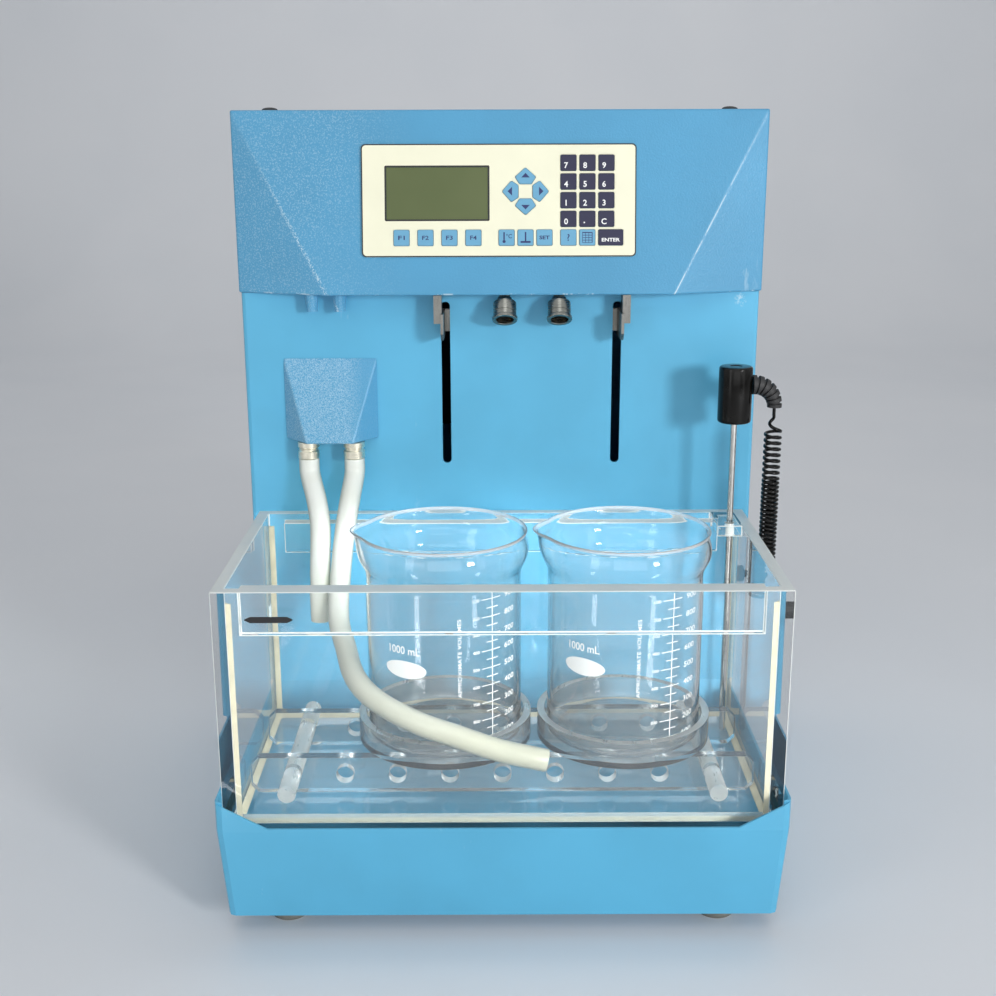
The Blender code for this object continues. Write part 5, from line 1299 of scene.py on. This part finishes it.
class TESTER_OT_beakers(bpy.types.Operator):
    """Adds the two beakers with their rims, spouts and white scales."""

    bl_idname = "tester.beakers"
    bl_label = "Beakers"

    def execute(self, context):
        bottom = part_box("beaker_left")[0].z
        glass = self.glass("beaker_left_glass")
        scale = self.scale("beaker_left_scale")
        for piece in (glass, scale):
            piece.location = (STATIONS["left"], STATION_Y, bottom)
            settle(piece)
        shift = Vector((STATIONS["right"] - STATIONS["left"], 0, 0))
        pieces = {
            "left": (glass, scale),
            "right": (
                copied(glass, "beaker_right_glass", shift),
                copied(scale, "beaker_right_scale", shift),
            ),
        }
        axis = Vector((STATIONS["right"], STATION_Y, 0))
        turn = Matrix.Rotation(math.radians(-8), 4, "Z")
        moved(pieces["right"][1], Matrix.Translation(axis) @ turn @ Matrix.Translation(-axis))
        for name, (glass, scale) in pieces.items():
            body = f"beaker_{name}"
            finished(glass, body, None, (f"beaker_{name}",), 60)
            finished(scale, body, "white_print")
        return {"FINISHED"}

    def glass(self, name):
        """A low beaker with a rounded heel, a bulging shoulder, a rolled rim and a spout."""
        body, height, wall, floor, heel = BEAKER_RADIUS, 0.145, sizes().glass_wall, 0.0024, 0.008
        inner = body - wall
        inside_heel = heel - wall
        profile = [(0, floor)]
        profile += arc(inner - inside_heel, floor + inside_heel, inside_heel, -90, 0, 6)
        lip = wall / 2
        knots = [(swell, 0, height - max(drop, lip)) for drop, swell in BEAKER_SHOULDER]
        side = [(point.x, point.z) for point in smooth_route(knots, 3)]
        profile += [(inner + swell, rise) for swell, rise in reversed(side)]
        middle = body + side[0][0] - lip
        profile += arc(middle, height - lip, lip, 150, 30, 4)
        profile += [(body + swell, rise) for swell, rise in side]
        profile += [*arc(body - heel, heel, heel, 0, -90, 6), (0, 0)]
        piece = spun(name, profile, steps=96)
        half = math.radians(24)
        for vertex in piece.data.vertices:
            point = vertex.co
            turn = math.atan2(point.y, -point.x)
            if abs(turn) < half and point.xy.length > inner - 0.00001:
                swell = math.cos(turn / half * math.pi / 2) ** 2
                share = max(0, 1 - (height - point.z) / 0.020)
                point.xy += point.xy.normalized() * 0.0066 * swell * share**2
        coated(piece, "beaker_glass", "beaker_lip")
        for face in piece.data.polygons:
            face.material_index = int(face.center.z > height - 0.0021)
        return piece

    def scale(self, name):
        """The white print on the glass: a scale each 50 mL, its figures and the volume."""
        pieces = []
        thick = 0.00006
        low, rise = 0.0015, 0.01221
        bars = [(-0.0003, 0.0003, low + 0.8 * rise, low + 9.35 * rise)]
        for step in range(2, 19):
            height = low + rise * step / 2
            left, right = (-0.0082, 0.0070) if step % 2 == 0 else (-0.0046, 0.0048)
            bars.append((left, -0.0004, height - 0.00027, height + 0.00027))
            bars.append((0.0004, right, height - 0.00027, height + 0.00027))
        lines = [oblong(*bar) for bar in bars]
        pieces.append(self.wrapped(flat_shape("lines", lines, thick), 38.8, 0))
        for hundred in range(1, 10):
            height = low + rise * hundred
            figure = lettering("figure", str(100 * hundred), sizes().print_height, thick, 0.0108, 0.004)
            pieces.append(self.wrapped(figure, 57, height))
            small = lettering("small_figure", str(1000 - 100 * hundred), 0.0022, thick, 0.0048, 0.01)
            pieces.append(self.wrapped(small, 25.5, height))
        words = lettering("words", "APPROXIMATE VOLUMES", 0.0026, thick, 0.0555, 0.004)
        words.data.transform(Matrix.Rotation(math.radians(90), 4, "Z"))
        pieces.append(self.wrapped(words, 13, 0.0725))
        pieces.append(self.wrapped(lettering("volume", "1000 mL", 0.0056, thick, 0.0235), -28, 0.0765))
        blank = flat_shape("blank", [oval(0.031, 0.0122)], thick)
        with editing(blank):
            bpy.ops.mesh.select_all(action="SELECT")
            bpy.ops.mesh.subdivide(number_cuts=6)
        pieces.append(self.wrapped(blank, -27.5, 0.063))
        return merged(name, pieces)

    def wrapped(self, piece, angle, height):
        """Bends a flat print around the glass, at an angle from the front."""
        radius = BEAKER_RADIUS + 0.00005
        for vertex in piece.data.vertices:
            x, y, z = vertex.co
            turn = math.radians(angle) + x / radius
            reach = radius + z
            vertex.co = (reach * math.sin(turn), -reach * math.cos(turn), y + height)
        return piece


class TESTER_OT_housing(bpy.types.Operator):
    """Paints the sheet metal, and adds the feet, bumpers, cover screws and a black foam pad behind the
    louvres, which also serves as painted shade that keeps the lift slots dark inside.
    """

    bl_idname = "tester.housing"
    bl_label = "Painted housing"

    def execute(self, context):
        for node, finish in (
            ("base_tray", "base_paint"),
            ("tower_shell", "tower_paint"),
            ("rear_cover", "base_paint"),
            ("head_hood", "head_paint"),
            ("circulator_hood", "circulator_paint"),
            ("lift_frame", "zinc"),
            ("lift_motor", "black_plastic"),
            ("drive_screw", "steel"),
            ("lift_carriage", "steel"),
        ):
            dressed(node, finish)
        self.feet()
        self.bumpers()
        self.cover_screws()
        self.filter()
        self.skirt()
        return {"FINISHED"}

    def feet(self):
        """Rubber feet with a ribbed side and a recess underneath for a screw."""
        profile = [(0, 0.0030), (0.0050, 0.0030), (0.0055, 0.0), (0.0122, 0.0), (0.0130, 0.0009)]
        for rib in range(3):
            base = 0.0030 + 0.0036 * rib
            radius = 0.0131 + 0.0002 * rib
            profile += [(radius, base), (radius - 0.0003, base + 0.0004), (radius - 0.0003, base + 0.0012)]
            profile += [(radius + 0.0001, base + 0.0016)]
        profile += [(0.0140, 0.0141), (0.0136, 0.0147), (0, 0.0147)]
        master = spun("foot_rubber_block", profile, steps=48)
        for end in ("left", "right"):
            for row in ("front", "rear"):
                node = f"foot_{row}_{end}"
                low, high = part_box(node)
                middle = (low + high) / 2
                foot = copied(master, f"{node}_rubber", (middle.x, middle.y, 0))
                finished(foot, "machine", "foot_rubber", (node,), 40)
        bpy.data.objects.remove(master, do_unlink=True)

    def bumpers(self):
        """Low black domes on the head's top."""
        profile = [(0, 0), (0.0057, 0), *arc(0, 0.0004, 0.0057, 0, 90, 6, 0.0018)]
        for end in ("left", "right"):
            low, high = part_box(f"bumper_{end}")
            place = Matrix.Translation(((low.x + high.x) / 2, (low.y + high.y) / 2, low.z))
            bumper = spun(f"bumper_{end}_dome", profile, place, 40)
            finished(bumper, "machine", "black_rubber", (f"bumper_{end}",), 40)

    def cover_screws(self):
        """Cross-head screws around the rear cover."""
        profile = [(0, 0), (0.0035, 0), *arc(0, 0.0006, 0.0035, 0, 90, 5, 0.0012)]
        head = spun("cover_screw", profile, steps=32)
        for cross in ((0.0019, 0.0004, 0.001), (0.0004, 0.0019, 0.001)):
            low = (-cross[0], -cross[1], 0.0009)
            combined(head, added_block("cross", low, (cross[0], cross[1], 0.003)), "DIFFERENCE")
        x, low, high = COVER_HIGH.x - 0.010, COVER_LOW.z + 0.010, COVER_HIGH.z - 0.010
        places = [(side * x, z) for side in (-1, 1) for z in (low, (low + high) / 2, high)]
        places += [(0, low), (0, high)]
        screws = []
        plane = TOWER_HIGH.y + GAP + COVER_SHEET
        for index, (across, up) in enumerate(places):
            screw = copied(head, f"cover_screw_{index}", (0, 0, 0))
            moved(screw, frame_at((across, plane, up), (-1, 0, 0), (0, 0, 1)))
            screws.append(screw)
        bpy.data.objects.remove(head, do_unlink=True)
        finished(merged("cover_screws", screws), "machine", "steel", (), 40)

    def skirt(self):
        """The strip of sheet that closes the tower behind the bath's foot."""
        side = TOWER_HIGH.x - 0.003
        strip = added_block(
            "tower_skirt", (-side, TOWER_FRONT, TANK_LOW.z), (side, TOWER_FRONT + 0.002, TOWER_LOW.z)
        )
        softened(strip, 0.0003, 2)
        finished(strip, "machine", "tower_paint")

    def filter(self):
        """Black foam behind the louvres; it also serves as painted shade that keeps the lift slots dark
        inside.
        """
        plane = TOWER_HIGH.y
        foam = added_block("louvre_filter", (-0.058, plane - 0.005, 0.266), (0.058, plane - 0.0002, 0.376))
        softened(foam, 0.001, 2)
        finished(foam, "machine", "black_rubber")


class TESTER_OT_sockets(bpy.types.Operator):
    """Adds the two round sensor sockets that lean forward under the head."""

    bl_idname = "tester.sockets"
    bl_label = "Sensor sockets"

    def execute(self, context):
        tilt = math.radians(33)
        lean = Vector((0, math.sin(tilt), math.cos(tilt)))
        length = 0.0173
        for end, x in (("left", 0.0030), ("right", 0.0417)):
            root = Vector((x, TOWER_FRONT - 0.0114, HOOD_BOTTOM - 0.0034))
            place = frame_at(root - lean * length, (1, 0, 0), (0, lean.z, -lean.y))
            self.shell(end, root, place, length)
            bed = [(0, 0.0108), (0.0061, 0.0108), (0.0061, 0.0068), (0.0057, 0.0064), (0, 0.0064)]
            bed_piece = spun(f"sensor_socket_{end}_bed", bed, place, 40)
            finished(bed_piece, "machine", "black_plastic", (), 40)
            pins = []
            for index in range(5):
                turn = math.tau * index / 6
                centre = Vector((0.0036 * math.cos(turn), 0.0036 * math.sin(turn), 0))
                pin = [(0, 0.0070), (0.0008, 0.0070), (0.0008, 0.0054), (0.0005, 0.0050), (0, 0.0050)]
                pins.append(spun("pin", pin, place @ Matrix.Translation(centre), 16))
            contacts = merged(f"sensor_socket_{end}_pins", pins)
            finished(contacts, "machine", "brass", (), 40)
        return {"FINISHED"}

    def shell(self, end, root, place, length):
        """A turned shell with a neck, a groove and a ring at its mouth."""
        profile = [
            (0, length),
            (0.0049, length),
            (0.0052, length - 0.0003),
            (0.0052, length - 0.0035),
            (0.0076, length - 0.0035),
            (0.0082, length - 0.0041),
            (0.0082, 0.0062),
            (0.0079, 0.0060),
            (0.0079, 0.0052),
            (0.0082, 0.0050),
            (0.0082, 0.0026),
            (0.0088, 0.0025),
            (0.0090, 0.0022),
            (0.0090, 0.0004),
            (0.0086, 0.0),
            (0.0067, 0.0),
            (0.0063, 0.0004),
            (0.0063, 0.0110),
            (0, 0.0110),
        ]
        shell = spun(f"sensor_socket_{end}_shell", profile, place, 48)
        spigot = added_round("spigot", 0.004, raised(root, -0.0028), raised(root, 0.0059), 32)
        combined(shell, spigot, "UNION")
        finished(shell, "machine", "shell_metal", (f"sensor_socket_{end}",), 40)


class TESTER_OT_fittings(bpy.types.Operator):
    """Adds the circulator's two nickel hose fittings on their bar."""

    bl_idname = "tester.fittings"
    bl_label = "Hose fittings"

    def execute(self, context):
        low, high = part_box("hose_fittings")
        radius, length = 0.00775, 0.0122
        profile = [
            (0, length),
            (radius - 0.0004, length),
            (radius, length - 0.0004),
            (radius, 0.0083),
            (radius - 0.0008, 0.0075),
            (radius - 0.0008, 0.0062),
            (radius, 0.0054),
            (radius, 0.0004),
            (radius - 0.0004, 0),
            (0, 0),
        ]
        y = (low.y + high.y) / 2
        side, half, sink = 0.0197, 0.003, 0.0006
        bar = added_block(
            "fitting_bar",
            (PUMP_X - side, y - half, low.z + length - sink),
            (PUMP_X + side, y + half, high.z),
        )
        softened(bar, 0.0003, 2)
        pieces = [bar]
        for side in (-1, 1):
            place = Matrix.Translation((PUMP_X + side * HOSE_SPREAD, y, low.z))
            pieces.append(spun("fitting", profile, place, 48))
        fittings = merged("nickel_fittings", pieces)
        finished(fittings, "machine", "nickel", ("hose_fittings",), 40)
        return {"FINISHED"}


class TESTER_OT_probe(bpy.types.Operator):
    """Adds the temperature probe's black handle and bright rod."""

    bl_idname = "tester.probe"
    bl_label = "Temperature probe"

    def execute(self, context):
        radius, length = HANDLE_RADIUS, HANDLE_LENGTH
        edge = 0.0018
        profile = [(0, length - 0.0004), (0.0040, length - 0.0004), (0.0043, length)]
        profile += arc(radius - edge, length - edge, edge, 90, 0, 4)
        profile += arc(radius - edge, edge, edge, 0, -90, 4)
        profile += [(0.0042, 0), (0.0040, 0.0005), (0, 0.0005)]
        place = Matrix.Translation((PROBE.x, PROBE.y, HANDLE_BOTTOM))
        handle = spun("probe_grip", profile, place, 64)
        finished(handle, "probe", "black_gloss", ("probe_handle",), 40)
        low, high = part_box("probe_rod")
        tip, thin, tall = 0.0012, 0.00225, high.z - low.z
        rod = [(0, tall), (thin, tall), *arc(thin - tip, tip, tip, 0, -90, 4), (0, 0)]
        stem = spun("probe_stem", rod, Matrix.Translation((PROBE.x, PROBE.y, low.z)), 40)
        finished(stem, "probe", "bright_steel", ("probe_rod",), 40)
        return {"FINISHED"}


class TESTER_OT_inlet(bpy.types.Operator):
    """Finishes the mains inlet, its blades and the rocker with its two marks."""

    bl_idname = "tester.inlet"
    bl_label = "Mains inlet"

    def execute(self, context):
        dressed("mains_inlet", "black_plastic")
        dressed("power_switch", "black_gloss")
        low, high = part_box("mains_inlet")
        x, middle = (low.x + high.x) / 2, (low.z + high.z) / 2
        blades = []
        for across, up in ((-0.007, -0.002), (0, 0.002), (0.007, -0.002)):
            centre = Vector((x + across, high.y, middle - 0.0135 + up))
            ends = [centre + Vector(end) for end in ((-0.0011, -0.0166, -0.0021), (0.0011, -0.0058, 0.0021))]
            blade = added_block("blade", *ends)
            blades.append(softened(blade, 0.0003, 2))
        finished(merged("inlet_blades", blades), "machine", "bright_steel")

        tilt = math.radians(10)
        pivot = Vector((0, high.y - 0.0015, middle + 0.0145))
        marks = []
        bar = [oblong(-0.0003, 0.0003, -0.0015, 0.0015)]
        ring = [oval(0.0034, 0.0034, 32), oval(0.0022, 0.0022, 32)]
        for sign, shape in ((1, bar), (-1, ring)):
            turn = Matrix.Rotation(tilt, 2)
            face = turn @ Vector((0.0018, 0.0093 * sign))
            point = turn @ Vector((0.0021, 0.00465 * sign))
            origin = Vector((x, pivot.y + point.x, pivot.z + point.y))
            up = Vector((0, face.x, face.y)) * sign
            mark = flat_shape("mark", shape, 0.0001)
            marks.append(moved(mark, frame_at(origin, (-1, 0, 0), up)))
        finished(merged("rocker_marks", marks), "rocker", "white_print")
        return {"FINISHED"}


class TESTER_OT_panel(bpy.types.Operator):
    """Finishes the overlay, the display and the keys, and prints their legends."""

    bl_idname = "tester.panel"
    bl_label = "Control panel"

    def execute(self, context):
        dressed("keypad_overlay", "overlay_sheet")
        dressed("display_window", "display_glass")
        face = face_frame()
        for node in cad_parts:
            if not node.startswith("key_"):
                continue
            name = node[4:]
            dark = name in NUMBER_KEYS
            dressed(node, "number_key" if dark else "function_key")
            low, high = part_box(node)
            middle = face.inverted() @ ((low + high) / 2)
            legend = self.legend(name)
            moved(legend, face @ Matrix.Translation((middle.x, middle.y, KEY_FRONT)))
            legend.name = f"legend_{name}"
            finish, slot = ("white_print", "navy") if dark else ("navy_print", "light_blue")
            finished(legend, node, finish)
        self.outlines(face)
        return {"FINISHED"}

    def legend(self, name):
        """A key's print, about the key's middle."""
        thick = 0.00006
        words = {"clear": "C", "enter": "ENTER", "set": "SET", "help": "?"}
        words.update({f"f{index}": f"F{index}" for index in range(1, 5)})
        shapes = {
            "enter": (0.0025, 0.0128, 0.03, (0, -0.0017)),
            "set": (0.0026, 0.0072, 0.03, (0, 0)),
            "help": (0.0047, None, 0.012, (0, 0)),
        }
        if name.isdigit() or name == "clear":
            piece = lettering(name, words.get(name, name), 0.0041, thick, None, 0.02)
            shift = (-0.0017, -0.0018)
        elif name in words:
            height, length, weight, shift = shapes.get(name, (0.0029, 0.0046, 0.02, (0, 0)))
            piece = lettering(name, words[name], height, thick, length, weight)
        elif name == "point":
            piece = flat_shape(name, [round_corners(-0.0005, 0.0005, -0.0005, 0.0005, 0.0002)], thick)
            shift = (-0.0022, -0.0026)
        elif name in ("right", "up", "left", "down"):
            turn = math.radians(90 * ("right", "up", "left", "down").index(name))
            spin = Matrix.Rotation(turn, 2)
            arrow = ((0.0021, 0), (-0.0010, 0.0030), (-0.0010, -0.0030))
            corners = [tuple(spin @ Vector(point)) for point in arrow]
            piece = flat_shape(name, [corners], thick)
            shift = (0, 0)
        else:
            piece = self.picture(name, thick)
            shift = (0, 0)
        piece.data.transform(Matrix.Translation((*shift, 0)))
        return piece

    def picture(self, name, thick):
        """The thermometer, the lift mark and the small table."""
        if name == "menu":
            cells = []
            for row in range(4):
                for column in range(3):
                    left = -0.0033 + 0.00223 * column
                    low = -0.0034 + 0.0017 * row
                    cells.append(round_corners(left, left + 0.0019, low, low + 0.0013, 0.0001, 1))
            sheet = round_corners(-0.0036, 0.0036, -0.0037, 0.0037, 0.0002, 2)
            return flat_shape(name, [sheet, *cells], thick)
        if name == "lift":
            shaft = oblong(-0.0005, 0.0005, -0.0024, 0.0038)
            plate = round_corners(-0.0036, 0.0036, -0.0037, -0.0024, 0.0005, 3)
            return flat_shape(name, [shaft, plate], thick)
        stem = round_corners(-0.0023, -0.0013, -0.0016, 0.0038, 0.0004, 3)
        bulb = [(x - 0.0018, y - 0.0027) for x, y in oval(0.0022, 0.0022, 24)]
        tube = flat_shape(name, [stem, bulb], thick)
        unit = lettering("unit", "\u00b0C", 0.0030, thick)
        unit.data.transform(Matrix.Translation((0.0017, 0.0010, 0)))
        return merged(name, [tube, unit])

    def outlines(self, face):
        """A painted shadow line just inside the overlay's edge, and a dark printed border around the
        display.
        """
        low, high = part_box("display_window")
        inverse = face.inverted()
        ends = [inverse @ low, inverse @ high]
        left, right = sorted(end.x for end in ends)
        window_top = PANEL_TOP - 0.0160
        window = (left, right, window_top - 0.0358, window_top)
        sheet = (PANEL_LEFT, PANEL_LEFT + PANEL_WIDTH, PANEL_TOP - PANEL_HEIGHT, PANEL_TOP)
        pieces = []
        # The overlay's dark ring is a painted shadow along the sheet's edge; the display's ring is its
        # printed border.
        for box, outward, inward, radius in ((sheet, 0.0, 0.0008, 0.003), (window, 0.0012, -0.0001, 0.0010)):
            rings = []
            left, right, low, high = box
            for grow, corner in ((outward, radius), (-inward, max(0.0003, radius - 0.0005))):
                rings.append(round_corners(left - grow, right + grow, low - grow, high + grow, corner))
            ring = flat_shape("outline", rings, 0.00008)
            pieces.append(moved(ring, face @ Matrix.Translation((0, 0, OVERLAY_FRONT))))
        lines = merged("panel_outlines", pieces)
        finished(lines, "machine", "black_print")


class TESTER_PT_pieces(bpy.types.Panel):
    """Lists the tester's pieces in the order in which they are built."""

    bl_idname = "TESTER_PT_pieces"
    bl_label = "Disintegration tester"
    bl_space_type = "VIEW_3D"
    bl_region_type = "UI"
    bl_category = "Tester"

    def draw(self, context):
        layout = self.layout
        for piece in PIECES:
            layout.operator(piece.bl_idname)
        for group in (context.scene.tester_sizes, context.scene.tester_colours):
            column = layout.column()
            for name in group.__annotations__:
                column.prop(group, name)


PIECES = (
    TESTER_OT_stage,
    TESTER_OT_hoses,
    TESTER_OT_cord,
    TESTER_OT_tank,
    TESTER_OT_rack,
    TESTER_OT_beakers,
    TESTER_OT_housing,
    TESTER_OT_sockets,
    TESTER_OT_fittings,
    TESTER_OT_probe,
    TESTER_OT_inlet,
    TESTER_OT_panel,
)
CLASSES = (TESTER_PG_sizes, TESTER_PG_colours, *PIECES, TESTER_PT_pieces)


def register():
    for item in CLASSES:
        bpy.utils.register_class(item)
    bpy.types.Scene.tester_sizes = bpy.props.PointerProperty(type=TESTER_PG_sizes)
    bpy.types.Scene.tester_colours = bpy.props.PointerProperty(type=TESTER_PG_colours)


def unregister():
    del bpy.types.Scene.tester_colours
    del bpy.types.Scene.tester_sizes
    for item in reversed(CLASSES):
        bpy.utils.unregister_class(item)


def main():
    register()
    for piece in PIECES:
        name = piece.bl_idname.split(".")[1]
        getattr(bpy.ops.tester, name)()


if __name__ == "__main__":
    main()
